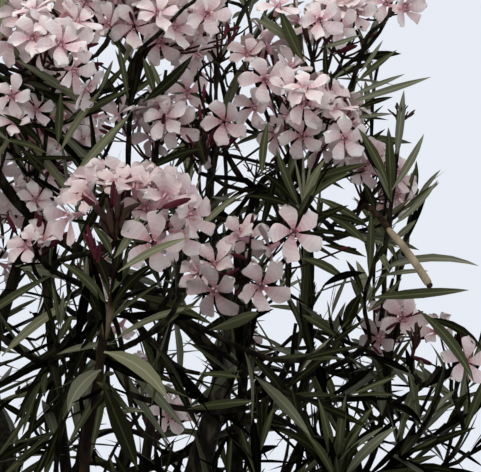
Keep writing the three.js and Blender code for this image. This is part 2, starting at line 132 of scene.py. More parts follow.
# Shoots of the front, at their places in the crown, as in the solids. A bare shoot has leaves here but no
# head, because a knot's flowers stand above it
FRONT_SHOOTS = {
    "bare": [
        (0.185, -0.490, 1.295), (0.090, -0.415, 1.295), (0.285, -0.290, 1.305), (0.340, -0.280, 1.335),
        (0.445, -0.230, 1.260), (0.480, -0.260, 1.205),
    ],
    "bloom": [
        (0.350, -0.285, 1.475), (0.240, -0.265, 1.470), (0.265, -0.190, 1.590), (0.180, -0.305, 1.555),
        (0.075, -0.350, 1.530), (0.040, -0.095, 1.550), (0.085, -0.030, 1.495), (0.390, -0.250, 1.580),
        (0.430, -0.150, 1.440), (0.190, 0.050, 1.195),
    ],
}
# Finer shoots of the front: column and row in the view, distance from the camera
FINE_FRONT_SHOOTS = {
    "bloom": [
        (10, 60, 1.52), (78, 18, 1.54), (162, 136, 1.50), (206, 26, 1.58), (276, 62, 1.54),
        (330, 124, 1.50), (352, 30, 1.58),
    ],
    "bare": [(384, 352, 1.50), (462, 372, 1.46)],
    "tip": [(412, 356, 1.42)],
    "leafy": [
        (60, 74, 1.46), (166, 70, 1.48), (290, 176, 1.49), (300, 44, 1.58), (404, 206, 1.58),
        (96, 96, 1.50), (28, 176, 1.50), (130, 86, 1.52), (182, 186, 1.50), (312, 196, 1.42),
        (276, 158, 1.46),
        (440, 396, 1.40), (350, 396, 1.36), (300, 372, 1.38), (330, 318, 1.46), (146, 330, 1.28),
        (60, 330, 1.28), (110, 392, 1.24), (190, 372, 1.40), (236, 356, 1.50), (24, 372, 1.34),
        (356, 250, 1.52), (196, 216, 1.52), (96, 150, 1.50), (24, 150, 1.46), (52, 276, 1.40),
        (420, 430, 1.46), (262, 440, 1.36), (146, 438, 1.32), (52, 440, 1.30), (344, 452, 1.34),
        (470, 452, 1.50), (446, 424, 1.54), (474, 410, 1.52), (432, 388, 1.56), (400, 452, 1.50),
        (14, 430, 1.46), (90, 340, 1.50), (236, 408, 1.62),
    ],
}
# The other shoots: an even spread at several depths, then a finer one between them
LOWEST_SHOOT = -0.9
OTHER_SHOOTS = {
    "main": True, "count": 72, "turn": 0.4, "shares": (0.9, 0.76, 0.88, 0.6),
    "spacing": 0.120, "view_spacing": 0.120, "least_opening": 9, "flowers_above": -0.25,
}
FINE_SHOOTS = {
    "main": False, "count": 330, "turn": 2.1, "shares": (0.95, 0.80, 0.68, 0.90, 0.52),
    "spacing": 0.056, "view_spacing": 0.068, "least_opening": 7, "flowers_above": 0.1,
}
# Of the coarse shoots all but one in this many may bloom, of the finer ones only one in this many
ONE_IN = 3
# How far below its flowers a shoot ends
HEAD_REACH = 0.048

# Single flowers that stand out at the front: column and row in the view, distance, turn of the face to the
# right and upwards in degrees, size, and which knot of stalks carries it
FRONT_FLOWERS = [
    (294, 232, 1.42, 8, 12, 1.18, 0), (238, 234, 1.44, -50, 40, 1.10, 0), (270, 249, 1.45, -75, -20, 1, 0),
    (214, 264, 1.43, -35, 30, 1.02, 0), (214, 291, 1.41, -18, -14, 1.16, 0),
    (261, 286, 1.41, 10, -10, 1.16, 0),
    (265, 80, 1.47, -10, 10, 1.02, 1), (305, 104, 1.46, 15, 5, 1.04, 1), (302, 136, 1.47, 0, -18, 0.98, 1),
    (342, 121, 1.48, 35, 5, 1.02, 1), (276, 134, 1.49, -40, -15, 0.90, 1), (292, 66, 1.50, 30, 45, 0.92, 1),
    (330, 92, 1.49, 30, 40, 1, 1), (254, 108, 1.50, -40, 5, 0.95, 1), (322, 148, 1.50, 30, -40, 0.92, 1),
    (224, 122, 1.46, 0, 4, 1.02, 2), (176, 126, 1.47, -10, 0, 1, 2), (152, 138, 1.50, -50, -10, 0.95, 2),
    (154, 108, 1.50, -40, 30, 0.92, 2), (247, 54, 1.50, -10, 30, 0.92, 2),
    (134, 27, 1.48, 5, 8, 1.05, 3), (108, 24, 1.49, -35, 15, 1, 3), (160, 42, 1.49, 30, -10, 1, 3),
    (172, 22, 1.50, 35, 20, 0.95, 3), (186, 48, 1.52, 15, 5, 0.95, 3),
    (405, 8, 1.54, 40, 0, 1, 4), (386, 3, 1.55, 10, 20, 0.95, 4), (356, 14, 1.54, -10, 5, 1, 4),
    (402, 318, 1.48, 10, 15, 1.02, 5), (378, 338, 1.50, -40, 0, 0.95, 5), (388, 306, 1.51, -15, 45, 0.92, 5),
    (466, 361, 1.45, 20, 5, 1, 6), (436, 331, 1.49, -25, 25, 0.92, 6),
    (27, 246, 1.34, -30, 30, 0.92, 7), (42, 238, 1.35, 25, 50, 0.88, 7), (36, 200, 1.50, 10, 30, 0.80, 12),
    (88, 194, 1.23, -35, 38, 1.05, 8), (115, 184, 1.25, -10, 70, 1.05, 8), (136, 187, 1.24, 12, 62, 1.05, 8),
    (166, 197, 1.22, 32, 48, 1.05, 8), (191, 215, 1.23, 52, 8, 1, 8), (69, 217, 1.24, -62, -5, 1.05, 8),
    (153, 243, 1.21, 12, -6, 1.10, 8), (146, 208, 1.24, 0, 35, 1, 8), (178, 236, 1.24, 45, -20, 1, 8),
    (102, 178, 1.27, -20, 55, 1, 8), (128, 176, 1.27, 5, 60, 1, 8), (154, 186, 1.27, 20, 45, 1, 8),
    (178, 198, 1.27, 35, 30, 1, 8), (82, 188, 1.27, -40, 30, 0.95, 8), (166, 226, 1.26, 15, 10, 1, 8),
    (197, 272, 1.43, -45, 10, 0.95, 0), (247, 238, 1.46, -20, 30, 0.90, 0),
    (362, 170, 1.58, 5, 10, 0.95, 9), (396, 196, 1.58, 25, 5, 0.95, 9), (348, 152, 1.58, -30, 15, 0.92, 9),
    (47, 20, 1.46, 10, 10, 1.06, 10), (43, 48, 1.45, -5, -12, 1.02, 10), (13, 42, 1.46, -25, 0, 1.02, 10),
    (20, 14, 1.47, -15, 22, 1, 10), (64, 68, 1.58, 25, 10, 0.80, 10), (207, 14, 1.47, 10, 15, 1.02, 3),
    (187, 92, 1.49, 10, 20, 0.92, 2), (278, 6, 1.50, 20, 50, 1, 11), (320, 20, 1.50, -10, 10, 0.96, 11),
    (339, 27, 1.51, 15, -5, 0.92, 11), (12, 96, 1.46, -20, 10, 0.90, 12), (36, 110, 1.47, 20, 25, 0.84, 12),
    (14, 122, 1.46, 0, 30, 0.84, 12),
]
# Knots that carry those flowers: column, row and distance
FLOWER_KNOTS = [
    (248, 276, 1.48), (304, 190, 1.53), (206, 164, 1.52), (146, 52, 1.54), (388, 16, 1.57),
    (388, 342, 1.55), (452, 372, 1.50), (32, 262, 1.38), (126, 232, 1.28), (372, 196, 1.63),
    (38, 84, 1.52), (312, 62, 1.57), (50, 166, 1.54),
]
FOREGROUND_KNOT = 8
HALF_HIDDEN_KNOT = 9
# Petal tint of each knot's flowers, a paler tint as painted light on lit knots and a duller one as painted
# shade on shaded knots, and painted shade one tint duller where a face turns below this many degrees
FRONT_TINTS = (1, 1, 2, 1, 1, 2, 1, 1, 2, 1, 2, 0, 0)
SHADED_BELOW = -8
# Crimson buds of the front: column, row, distance, turn to the right and upwards in degrees, length in
# millimetres, knot
FRONT_BUDS = [
    (92, 204, 1.21, -40, 40, 22, 8), (102, 214, 1.21, -25, 35, 24, 8), (113, 194, 1.22, 5, 75, 22, 8),
    (118, 206, 1.21, 10, 80, 20, 8), (110, 221, 1.20, -10, 60, 21, 8), (123, 218, 1.21, 20, 65, 18, 8),
    (177, 203, 1.20, 62, 28, 24, 8), (90, 236, 1.21, -20, 70, 19, 8), (99, 252, 1.22, 15, 80, 18, 8),
    (252, 222, 1.43, 10, 70, 16, 0), (238, 256, 1.42, -30, 20, 18, 0), (232, 272, 1.41, -50, -10, 15, 0),
    (392, 326, 1.47, 40, 35, 14, 5), (376, 350, 1.48, -30, 40, 13, 5), (352, 140, 1.50, 40, 20, 15, 1),
    (226, 30, 1.47, 10, 65, 17, 3), (232, 38, 1.47, 30, 50, 15, 3), (204, 92, 1.46, 5, 70, 16, 2),
    (200, 112, 1.46, -10, 75, 16, 2), (206, 124, 1.46, 15, 70, 17, 2), (211, 136, 1.46, 25, 60, 15, 2),
    (190, 140, 1.46, -35, 50, 14, 2), (285, 128, 1.47, 0, 70, 14, 1), (345, 248, 1.45, -70, 5, 11, 0),
    (108, 208, 1.215, -15, 65, 18, 8), (116, 200, 1.215, 0, 85, 19, 8), (121, 212, 1.215, 20, 70, 17, 8),
    (112, 218, 1.215, 0, 80, 17, 8), (104, 226, 1.215, -20, 50, 16, 8), (117, 228, 1.215, 5, 75, 16, 8),
    (88, 242, 1.215, -30, 60, 18, 8), (94, 248, 1.215, -10, 70, 18, 8), (130, 208, 1.21, 50, 30, 20, 8),
    (46, 54, 1.45, 15, 70, 17, 10),
]
# Rows of the view between which the foreground's buds are closed brown ones
CLOSED_BUD_ROWS = (205, 235)
# Upright limbs that stand out at the front: radii at foot and tip in millimetres, kind of the tip, and the
# places of the view that it passes, from the foot up
FRONT_ROUTES = [
    (5.7, 3.4, "foreground", (
        (84, 490, 1.27), (86, 440, 1.26), (97, 386, 1.265), (103, 340, 1.26), (114, 292, 1.26),
        (120, 238, 1.27),
    )),
    (3.6, 2.2, "tip", ((366, 345, 1.52), (386, 240, 1.47), (399, 134, 1.48))),
    (3.4, 2.4, "stalk", ((374, 205, 1.58), (347, 106, 1.52), (353, 80, 1.51), (364, 46, 1.50))),
    (4.0, 2.4, "leafy", ((126, 222, 1.56), (129, 132, 1.50), (133, 62, 1.48))),
    (3.6, 2.2, "tip", ((202, 272, 1.56), (208, 200, 1.52), (214, 146, 1.50))),
    (4.0, 2.4, "leafy", ((356, 480, 1.54), (330, 405, 1.50), (306, 336, 1.48))),
    (7.5, 4.5, "bare", ((238, 480, 1.60), (243, 380, 1.56), (248, 300, 1.53))),
    (3.4, 2.2, "bare", ((402, 480, 1.50), (392, 420, 1.50), (388, 350, 1.50))),
    (2.8, 2.0, "tip", ((56, 470, 1.30), (72, 370, 1.30), (86, 292, 1.31))),
    (3.4, 2.2, "bare", ((300, 240, 1.60), (306, 180, 1.56), (312, 150, 1.54))),
    (3.2, 2.0, "bare", ((364, 350, 1.50), (364, 300, 1.48), (376, 256, 1.46))),
    (3.4, 2.2, "leafy", ((372, 620, 1.46), (350, 540, 1.38), (338, 480, 1.34))),
    (2.6, 1.6, "stalk", ((62, 168, 1.51), (47, 122, 1.49), (37, 92, 1.47), (32, 60, 1.45))),
    (1.8, 1.2, "stalk", ((37, 92, 1.47), (43, 76, 1.46), (42, 60, 1.45))),
    (2.0, 1.4, "stalk", ((96, 112, 1.50), (44, 96, 1.48), (4, 76, 1.46))),
    (2.6, 1.6, "stalk", ((95, 106, 1.50), (84, 62, 1.47), (76, 36, 1.45), (52, 9, 1.44))),
    (2.8, 1.8, "stalk", ((86, 60, 1.48), (90, 28, 1.46), (80, 8, 1.45), (66, 2, 1.44))),
    (2.6, 2.0, "stalk", ((118, 36, 1.46), (96, 20, 1.45), (82, 10, 1.45))),
    (2.4, 1.7, "stalk", ((148, 50, 1.47), (166, 27, 1.46), (184, 8, 1.46), (196, -2, 1.45))),
    (1.8, 1.0, "stalk", (
        (204, 120, 1.49), (198, 78, 1.47), (212, 62, 1.46), (223, 70, 1.46), (231, 88, 1.45),
    )),
    (2.4, 1.6, "stalk", ((364, 46, 1.50), (369, 34, 1.50), (384, 22, 1.51), (391, 8, 1.52))),
    (1.8, 1.2, "stalk", ((364, 46, 1.50), (356, 30, 1.49))),
    (2.4, 1.6, "stalk", ((310, 90, 1.52), (311, 52, 1.50), (306, 28, 1.49))),
]
FRONT_LIMB_DROP = 0.060
FRONT_TIP_RISE = 0.02
BEARING_SHARES = np.linspace(0.3, 1, 40)
# Single leaves that stand out, by tint: column, row and distance of the root, the same of the tip, then the
# width and the rise of the arch in millimetres
FRONT_LEAVES = {
    "leaves_shade": [(366, 273, 1.46, 322, 287, 1.44, 8.0, 4)],
    "leaves_dark": [
        (138, 470, 1.21, 103, 384, 1.20, 15.0, 0), (426, 318, 1.47, 484, 352, 1.45, 9.0, 7),
        (334, 478, 1.34, 292, 386, 1.35, 10.5, -8), (334, 480, 1.34, 276, 430, 1.33, 10.5, 10),
        (340, 482, 1.34, 360, 442, 1.32, 7.7, 4), (88, 88, 1.46, 68, 40, 1.45, 11.5, 4),
        (143, 102, 1.46, 193, 55, 1.45, 11.5, -4), (124, 108, 1.48, 100, 70, 1.47, 5.0, 1),
        (90, 158, 1.47, 2, 160, 1.46, 5.0, 1), (150, 170, 1.45, 204, 148, 1.44, 8.5, 4),
        (44, 148, 1.46, 3, 114, 1.45, 8.5, 4), (358, 108, 1.49, 393, 97, 1.48, 6.0, 1),
        (352, 81, 1.49, 327, 46, 1.49, 2.5, 0), (326, 88, 1.48, 325, 42, 1.47, 6.0, 1),
        (330, 92, 1.48, 331, 70, 1.47, 4.5, 0), (369, 227, 1.47, 320, 213, 1.45, 6.5, 2),
        (357, 237, 1.48, 309, 233, 1.47, 6.0, 3), (366, 257, 1.47, 322, 245, 1.46, 6.5, 2),
        (344, 330, 1.45, 361, 294, 1.44, 13.0, 2), (364, 297, 1.46, 346, 260, 1.46, 6.0, 2),
        (376, 212, 1.47, 363, 182, 1.47, 8.0, 1), (300, 208, 1.47, 262, 172, 1.46, 8.0, 3),
        (298, 210, 1.46, 246, 196, 1.45, 8.0, 4), (110, 292, 1.24, 84, 236, 1.23, 8.5, 3),
        (112, 308, 1.24, 158, 262, 1.24, 8.0, 5), (116, 268, 1.23, 129, 216, 1.22, 7.0, 2),
    ],
    "leaves_green": [
        (368, 298, 1.46, 469, 290, 1.42, 10.8, 0), (418, 310, 1.46, 474, 382, 1.42, 11.0, 6),
        (335, 478, 1.34, 318, 398, 1.34, 8.8, 4), (338, 478, 1.34, 346, 394, 1.35, 8.8, 3),
        (340, 478, 1.34, 374, 406, 1.34, 9.8, 6), (336, 482, 1.34, 306, 434, 1.32, 7.7, 4),
        (155, 95, 1.47, 143, 57, 1.46, 8.5, 1), (128, 98, 1.47, 118, 44, 1.46, 6.0, 1),
        (48, 154, 1.46, 3, 140, 1.45, 6.5, 3), (58, 146, 1.45, 61, 92, 1.44, 8.5, 3),
        (357, 82, 1.49, 397, 50, 1.47, 7.0, 1), (304, 62, 1.50, 280, 8, 1.49, 12.0, -3),
        (262, 176, 1.40, 268, 122, 1.41, 8.0, 2), (388, 186, 1.44, 358, 128, 1.44, 9.0, 3),
        (370, 229, 1.47, 314, 197, 1.46, 8.5, 3), (366, 244, 1.47, 324, 214, 1.46, 9.5, 4),
        (346, 281, 1.46, 300, 258, 1.45, 9.5, 4), (368, 312, 1.46, 402, 278, 1.45, 6.2, -2),
        (302, 205, 1.47, 352, 172, 1.45, 7.0, 4), (299, 206, 1.46, 276, 148, 1.45, 8.5, -2),
        (112, 292, 1.24, 136, 238, 1.23, 8.5, -3), (108, 310, 1.24, 60, 262, 1.24, 8.5, 5),
        (112, 256, 1.22, 92, 226, 1.21, 7.0, 3),
    ],
    "leaves_grey": [
        (376, 272, 1.46, 479, 266, 1.41, 8.5, 11), (101, 370, 1.24, 68, 412, 1.21, 13.5, 6),
        (110, 416, 1.24, 145, 412, 1.22, 6.0, 3), (342, 480, 1.34, 398, 426, 1.33, 9.8, 4),
        (88, 110, 1.46, 15, 60, 1.44, 8.5, 4), (100, 92, 1.47, 113, 60, 1.46, 5.0, 0),
        (80, 167, 1.45, 131, 112, 1.43, 8.5, -2), (348, 103, 1.49, 431, 77, 1.47, 7.8, 0),
        (352, 95, 1.49, 405, 74, 1.48, 5.5, 0), (360, 72, 1.49, 383, 40, 1.48, 4.5, -1),
        (350, 119, 1.50, 393, 114, 1.48, 5.0, 1), (332, 80, 1.50, 357, 63, 1.49, 3.5, 1),
        (318, 48, 1.50, 362, 34, 1.49, 5.5, -2), (392, 190, 1.44, 424, 134, 1.44, 8.0, -2),
        (392, 226, 1.44, 438, 180, 1.43, 6.5, -3), (392, 241, 1.46, 416, 220, 1.45, 7.0, -1),
        (304, 207, 1.47, 303, 150, 1.48, 3.4, 1), (306, 207, 1.47, 325, 160, 1.48, 2.8, 1),
    ],
    "leaves_olive": [
        (104, 352, 1.23, 168, 400, 1.19, 13.8, 8), (2, 356, 1.30, 74, 300, 1.29, 9.0, 4),
        (112, 342, 1.26, 202, 306, 1.28, 6.0, 6), (70, 184, 1.36, 126, 118, 1.36, 8.0, 2),
        (163, 92, 1.48, 150, 60, 1.47, 6.0, -1), (60, 152, 1.45, 101, 90, 1.44, 7.5, 3),
        (292, 42, 1.50, 257, 20, 1.49, 11.0, 2), (378, 250, 1.45, 389, 272, 1.43, 7.0, 1),
        (301, 206, 1.46, 326, 158, 1.45, 7.0, 3), (303, 207, 1.47, 294, 156, 1.48, 3.0, 1),
        (305, 207, 1.47, 313, 153, 1.48, 3.0, 1), (118, 272, 1.20, 188, 238, 1.17, 7.0, 3),
        (196, 232, 1.38, 240, 194, 1.38, 6.5, 2), (114, 258, 1.22, 140, 214, 1.21, 7.5, -3),
    ],
}
# Places of the view where sky shows, read off the photograph: column, row, radius
OPENINGS = np.array([
    # outside the crown's right edge
    (485, 45, 66), (490, 210, 60), (460, 130, 20), (425, 108, 15), (416, 50, 18), (438, 160, 9),
    (425, 176, 8), (424, 238, 12), (480, 284, 14), (455, 306, 13), (430, 304, 8), (448, 276, 8),
    # between the leaves and twigs of its right side
    (394, 42, 10), (404, 68, 10), (384, 70, 6), (376, 46, 6), (390, 104, 6), (386, 124, 8), (412, 136, 6),
    (404, 222, 6), (412, 262, 6), (404, 282, 7), (388, 284, 6), (384, 304, 7), (379, 12, 4),
    # among the flowers of the top
    (107, 45, 7), (104, 60, 5), (160, 60, 4), (163, 74, 5), (232, 55, 8), (226, 78, 6), (217, 93, 9),
    (190, 110, 6), (232, 9, 6), (15, 68, 5), (256, 12, 5), (247, 86, 5), (285, 53, 4), (316, 58, 7),
    (345, 54, 9), (333, 66, 6), (341, 86, 6), (347, 34, 5), (214, 66, 3), (88, 40, 3), (120, 76, 3),
    # under them
    (118, 146, 5), (128, 158, 5), (138, 156, 6), (160, 151, 4), (222, 160, 7), (251, 133, 4), (250, 146, 5),
    (262, 156, 5), (286, 156, 4), (322, 166, 7), (16, 170, 6), (165, 166, 6), (155, 174, 5), (182, 184, 5),
    (197, 178, 5), (207, 176, 4), (216, 184, 5), (236, 178, 4), (246, 190, 5), (250, 201, 5), (256, 213, 4),
    (333, 192, 8), (352, 189, 7), (367, 190, 5), (340, 200, 5), (312, 205, 5), (345, 212, 6), (357, 210, 4),
    # at the height of the middle flowers
    (12, 236, 7), (68, 236, 8), (186, 274, 7), (170, 292, 5), (131, 287, 4), (146, 304, 6), (328, 240, 6),
    (342, 242, 5), (347, 230, 4), (326, 262, 9), (345, 264, 9), (357, 252, 6), (275, 300, 5), (342, 302, 5),
    (322, 306, 5), (382, 262, 4),
    # low on the left
    (12, 304, 5), (90, 312, 4), (10, 324, 5), (38, 336, 5), (52, 348, 4), (16, 388, 6), (18, 406, 5),
    (35, 434, 4), (70, 430, 4), (62, 464, 5), (116, 376, 7), (128, 390, 5), (136, 404, 5), (110, 434, 4),
    (138, 424, 6), (148, 444, 8), (130, 346, 5), (170, 344, 7), (192, 370, 7), (190, 452, 4), (150, 324, 5),
    (192, 322, 4),
    # low on the right
    (270, 330, 6), (295, 325, 6), (296, 344, 6), (292, 364, 6), (248, 386, 5), (276, 390, 4), (322, 336, 6),
    (336, 366, 6), (346, 344, 4), (372, 380, 4), (270, 436, 4), (295, 432, 5), (262, 466, 5), (330, 466, 5),
    (244, 426, 4), (355, 426, 4), (428, 356, 8), (428, 338, 6), (396, 394, 4), (424, 404, 5), (410, 426, 4),
    (448, 414, 4), (452, 434, 4), (394, 344, 4),
], float)
# How much wider than an opening its surroundings stay clear of flowers and head branches
FLOWER_SPARE = 15
BRANCH_SPARE = 3
LEAF_SPARE = -0.5


# Small helpers
MOSTLY_ALONG_X = 0.8


def unit(vector):
    return vector / np.linalg.norm(vector, axis=-1, keepdims=True)


def compass(degrees, distance, height):
    angle = math.radians(degrees)
    return np.array([distance * math.cos(angle), distance * math.sin(angle), height])


def sideways(direction):
    """A unit vector square to a direction, the same one each time."""
    other = (0.0, 1.0, 0.0) if abs(direction[0]) >= MOSTLY_ALONG_X else (1.0, 0.0, 0.0)
    return unit(np.cross(other, direction))


def turned(vector, axis, angle):
    """A vector turned about a unit axis."""
    cosine, sine = math.cos(angle), math.sin(angle)
    return vector * cosine + np.cross(axis, vector) * sine + axis * (axis @ vector) * (1 - cosine)


def angles_round(count):
    return np.linspace(0, FULL_TURN, count, endpoint=False)


def swept(side, other, angles):
    """Directions at angles from each side towards its other. angles is (n,) for all alike, or (sides, n)."""
    angles = np.asarray(angles)[..., None]
    return side[:, None] * np.cos(angles) + other[:, None] * np.sin(angles)


def gather(items, *keys):
    return (np.array([item[key] for item in items], float) for key in keys)


def rows_of(groups):
    """Each row of named groups, after its group's name."""
    return [(name, row) for name, rows in groups.items() for row in rows]


# Places in the crown
def even_direction(index, count, lowest, turn):
    height = 1 - (1 - lowest) * (index + 0.5) / count
    flat = math.sqrt(1 - height * height)
    angle = index * GOLDEN_ANGLE + turn
    return np.array([flat * math.cos(angle), flat * math.sin(angle), height])


def in_crown(direction, share):
    return CROWN_CENTRE + direction * CROWN_REACH * share


def crown_share(points):
    return np.linalg.norm((points - CROWN_CENTRE) / CROWN_REACH, axis=-1)


def crown_height(points):
    """Height over the crown's centre, as a share of its reach."""
    return (points[..., 2] - CROWN_CENTRE[2]) / CROWN_REACH[2]


def growth_direction(point):
    outward = (point - CROWN_CENTRE) / CROWN_REACH
    return unit(outward * OUTWARD_GROWTH + UP * UPWARD_GROWTH)


# Places in the view
def at_view(column, row, distance):
    """The place that is seen at a column and row of the view, at a distance from the camera."""
    across = (column - VIEW_WIDTH / 2) / FOCAL_PIXELS * distance
    below = (row - VIEW_HEIGHT / 2) / FOCAL_PIXELS * distance
    cosine, sine = math.cos(CAMERA_PITCH), math.sin(CAMERA_PITCH)
    forward, upward = distance * cosine + below * sine, distance * sine - below * cosine
    return CAMERA_PLACE + np.array([across, forward, upward])


def seen_at(points):
    """Columns and rows where points are seen, and their distances."""
    way = points - CAMERA_PLACE
    cosine, sine = math.cos(CAMERA_PITCH), math.sin(CAMERA_PITCH)
    distance = way[..., 1] * cosine + way[..., 2] * sine
    column = way[..., 0] / distance * FOCAL_PIXELS + VIEW_WIDTH / 2
    row = (way[..., 1] * sine - way[..., 2] * cosine) / distance * FOCAL_PIXELS + VIEW_HEIGHT / 2
    return column, row, distance


def in_window(points, window):
    """Whether each point is seen in a window of the view, and nearer than its greatest distance."""
    column, row, distance = seen_at(points)
    left, right, top, foot, farthest = window
    return (left < column) & (column < right) & (top < row) & (row < foot) & (distance < farthest)


def in_openings(points, spare=0.0, least_radius=0.0):
    """Whether each point is seen inside one of the openings."""
    column, row, _ = seen_at(points)
    holes = OPENINGS[OPENINGS[:, 2] >= least_radius]
    apart = np.hypot(column[..., None] - holes[:, 0], row[..., None] - holes[:, 1])
    return (apart < holes[:, 2] + spare).any(-1)


def facing_at(right, upwards, forward=1.0):
    """The way of a thing turned from the camera by degrees; a low forward share sets it more upright."""
    yaw, pitch = math.radians(right), math.radians(upwards) - CAMERA_PITCH
    flat = math.cos(pitch)
    return unit(np.array([math.sin(yaw) * flat, -math.cos(yaw) * flat * forward, math.sin(pitch)]))


# Growth: limbs, boughs, masses and twigs
class Limb:
    """A round tapering limb along a cubic curve. shoot says what its tip carries, if anything."""

    def __init__(self, start, start_way, end, end_way, foot_radius, tip_radius, flare=0.0, shoot=None):
        pull = np.linalg.norm(end - start) * CURVE_PULL
        self.corners = np.array([start, start + start_way * pull, end - end_way * pull, end])
        self.foot_radius = foot_radius
        self.tip_radius = tip_radius
        self.flare = flare
        self.shoot = shoot
        self.in_foreground = False
        chain = self.point(np.linspace(0, 1, CURVE_SAMPLES))
        self.length = float(np.linalg.norm(np.diff(chain, axis=0), axis=1).sum())

    def point(self, share):
        t = np.asarray(share, float)[..., None]
        a, b, c, d = self.corners
        return a * (1 - t) ** 3 + b * 3 * t * (1 - t) ** 2 + c * 3 * t * t * (1 - t) + d * t ** 3

    def way(self, share):
        t = np.asarray(share, float)[..., None]
        a, b, c, d = self.corners
        return unit((b - a) * (1 - t) ** 2 + (c - b) * 2 * t * (1 - t) + (d - c) * t * t)

    def radius(self, share):
        share = np.asarray(share, float)
        plain = self.foot_radius + (self.tip_radius - self.foot_radius) * share
        return plain * (1 + self.flare * np.exp(-share * self.length / FLARE_LENGTH))

    def kind(self):
        return self.shoot["kind"] if self.shoot else None


def gap_to_limbs(points, radii, limbs):
    """The least free space between balls at the points and the limbs."""
    gap = math.inf
    shares = np.linspace(0, 1, GAP_SAMPLES)
    for limb in limbs:
        chain = limb.point(shares)
        reach = limb.radius(shares)
        start, line = chain[:-1], np.diff(chain, axis=0)
        offset = points[:, None] - start[None]
        share = np.clip((offset * line).sum(-1) / (line * line).sum(-1), 0, 1)
        near = start + line * share[..., None]
        thick = reach[:-1] + (reach[1:] - reach[:-1]) * share
        apart = np.linalg.norm(points[:, None] - near, axis=-1) - thick - radii[:, None]
        gap = min(gap, float(apart.min()))
    return gap


def grow_stem(angle, foot_spread, fork_spread, fork_height, foot_radius):
    foot = compass(angle, foot_spread, SOIL_HEIGHT + SEAT_GAP)
    fork = compass(angle, fork_spread, fork_height)
    lean = unit(compass(angle, FORK_LEAN, 1))
    return Limb(foot, UP, fork, lean, foot_radius, foot_radius * STEM_TAPER, ROOT_FLARE)


def make_masses():
    masses = []
    for index in range(MASS_COUNT):
        centre = in_crown(even_direction(index, MASS_COUNT, LOWEST_MASS, MASS_TURN), MASS_SHARE)
        heading = growth_direction(centre)
        entry = centre - heading * BOUGH_SHORT_OF_CENTRE
        masses.append({"centre": centre, "heading": heading, "entry": entry, "stem": None})
    return masses


def share_out_masses(masses, stems):
    pairs = []
    for mass in masses:
        for stem in stems:
            way = mass["entry"] - stem.point(1)
            rise = way[2] / max(MM, math.hypot(way[0], way[1]))
            cost = np.linalg.norm(way) * (FLAT_WAY_COST if rise < FLAT_WAY_RISE else 1)
            pairs.append((cost, mass, stem))
    for _, mass, stem in sorted(pairs, key=lambda pair: pair[0]):
        taken = sum(other["stem"] is stem for other in masses)
        if mass["stem"] is None and taken < BOUGHS_ON_ONE_STEM:
            mass["stem"] = stem


def clear_route(mass, start, leaving, foot_radius, limbs):
    """Of several ways to swing out on the way to the mass, the one clearest of other limbs."""
    best, best_gap = None, -math.inf
    shares = np.linspace(0, 1, GAP_SAMPLES)[SAMPLES_AT_FOOT:]
    for turn in range(ROUTE_TURNS):
        swing = 0 if turn == 0 else FIRST_SWING + NEXT_SWING * ((turn - 1) // 4)
        arriving = unit(mass["heading"] + compass(turn * 90, swing, 0))
        limb = Limb(start, leaving, mass["entry"], arriving, foot_radius, BOUGH_TIP_RADIUS)
        gap = gap_to_limbs(limb.point(shares), limb.radius(shares), limbs) if limbs else math.inf
        if gap > best_gap:
            best, best_gap = limb, gap
        if best_gap > BOUGH_CLEARANCE:
            break
    return best


def grow_boughs(stem, masses, limbs):
    own = [mass for mass in masses if mass["stem"] is stem]
    fork, tip_way = stem.point(1), stem.way(1)
    own.sort(key=lambda mass: -float(unit(mass["entry"] - fork) @ tip_way))
    for order, mass in enumerate(own):
        drop = FIRST_SIDE_DROP + NEXT_SIDE_DROP * (order - 1)
        share = 1.0 if order == 0 else 1 - drop / stem.length
        start, along = stem.point(share), stem.way(share)
        leaving = along if order == 0 else unit(along * SIDE_LEAN + unit(mass["entry"] - start))
        if order == 0:
            start = start + along * SEAT_GAP
            foot_radius = float(stem.radius(1)) * LEADER_SHARE
        else:
            foot_radius = SIDE_FOOT_RADIUS + np.linalg.norm(mass["entry"] - start) * SIDE_THICKENING
        others = [limb for limb in limbs if limb is not stem]
        mass["bough"] = clear_route(mass, start, leaving, foot_radius, others)
        limbs.append(mass["bough"])


def fill_crown(shoots, main, count, turn, shares, spacing, view_spacing, least_opening, flowers_above):
    """Adds an even spread of shoots where there is room, clear of wide openings. Some high ones bloom."""
    for index in range(count):
        direction = even_direction(index, count, LOWEST_SHOOT, turn)
        tip = in_crown(direction, shares[index % len(shares)])
        if in_openings(tip, least_radius=least_opening) or in_window(tip, BEFORE_TOP_HEADS):
            continue
        room = min(np.linalg.norm(tip - other["tip"]) for other in shoots)
        if room > (view_spacing if in_window(tip, WHOLE_VIEW) else spacing):
            chosen = len(shoots) % ONE_IN != 0 if main else index % ONE_IN == 0
            blooms = chosen and crown_height(tip) > flowers_above and not in_window(tip, PLACED_HEADS)
            shoots.append({"tip": tip, "kind": "bloom" if blooms else "leafy", "main": main})


def place_shoots():
    """The tips of all shoots: those of the solids first, then finer ones between them."""
    shoots = [{"tip": np.array(tip), "kind": kind, "main": True} for kind, tip in rows_of(FRONT_SHOOTS)]
    fill_crown(shoots, **OTHER_SHOOTS)
    for kind, place in rows_of(FINE_FRONT_SHOOTS):
        shoots.append({"tip": at_view(*place), "kind": kind, "main": False})
    fill_crown(shoots, **FINE_SHOOTS)
    for shoot in shoots:
        if shoot["kind"] == "bloom":
            shoot["tip"] = shoot["tip"] - growth_direction(shoot["tip"]) * HEAD_REACH
    for knot, place in enumerate(FLOWER_KNOTS):
        if knot != FOREGROUND_KNOT:
            shoots.append({"tip": at_view(*place), "kind": "knot", "main": False})
    return shoots


def choose_joint(joints, tip):
    below = [joint for joint in joints if joint["at"][2] < tip[2] - JOINT_DROP] or joints[:1]

    def cost(joint):
        way = tip - joint["at"]
        distance = np.linalg.norm(way)
        return distance * (1 + FLAT_TWIG_COST * (math.hypot(way[0], way[1]) / distance) ** 2)

    return min(below, key=cost)


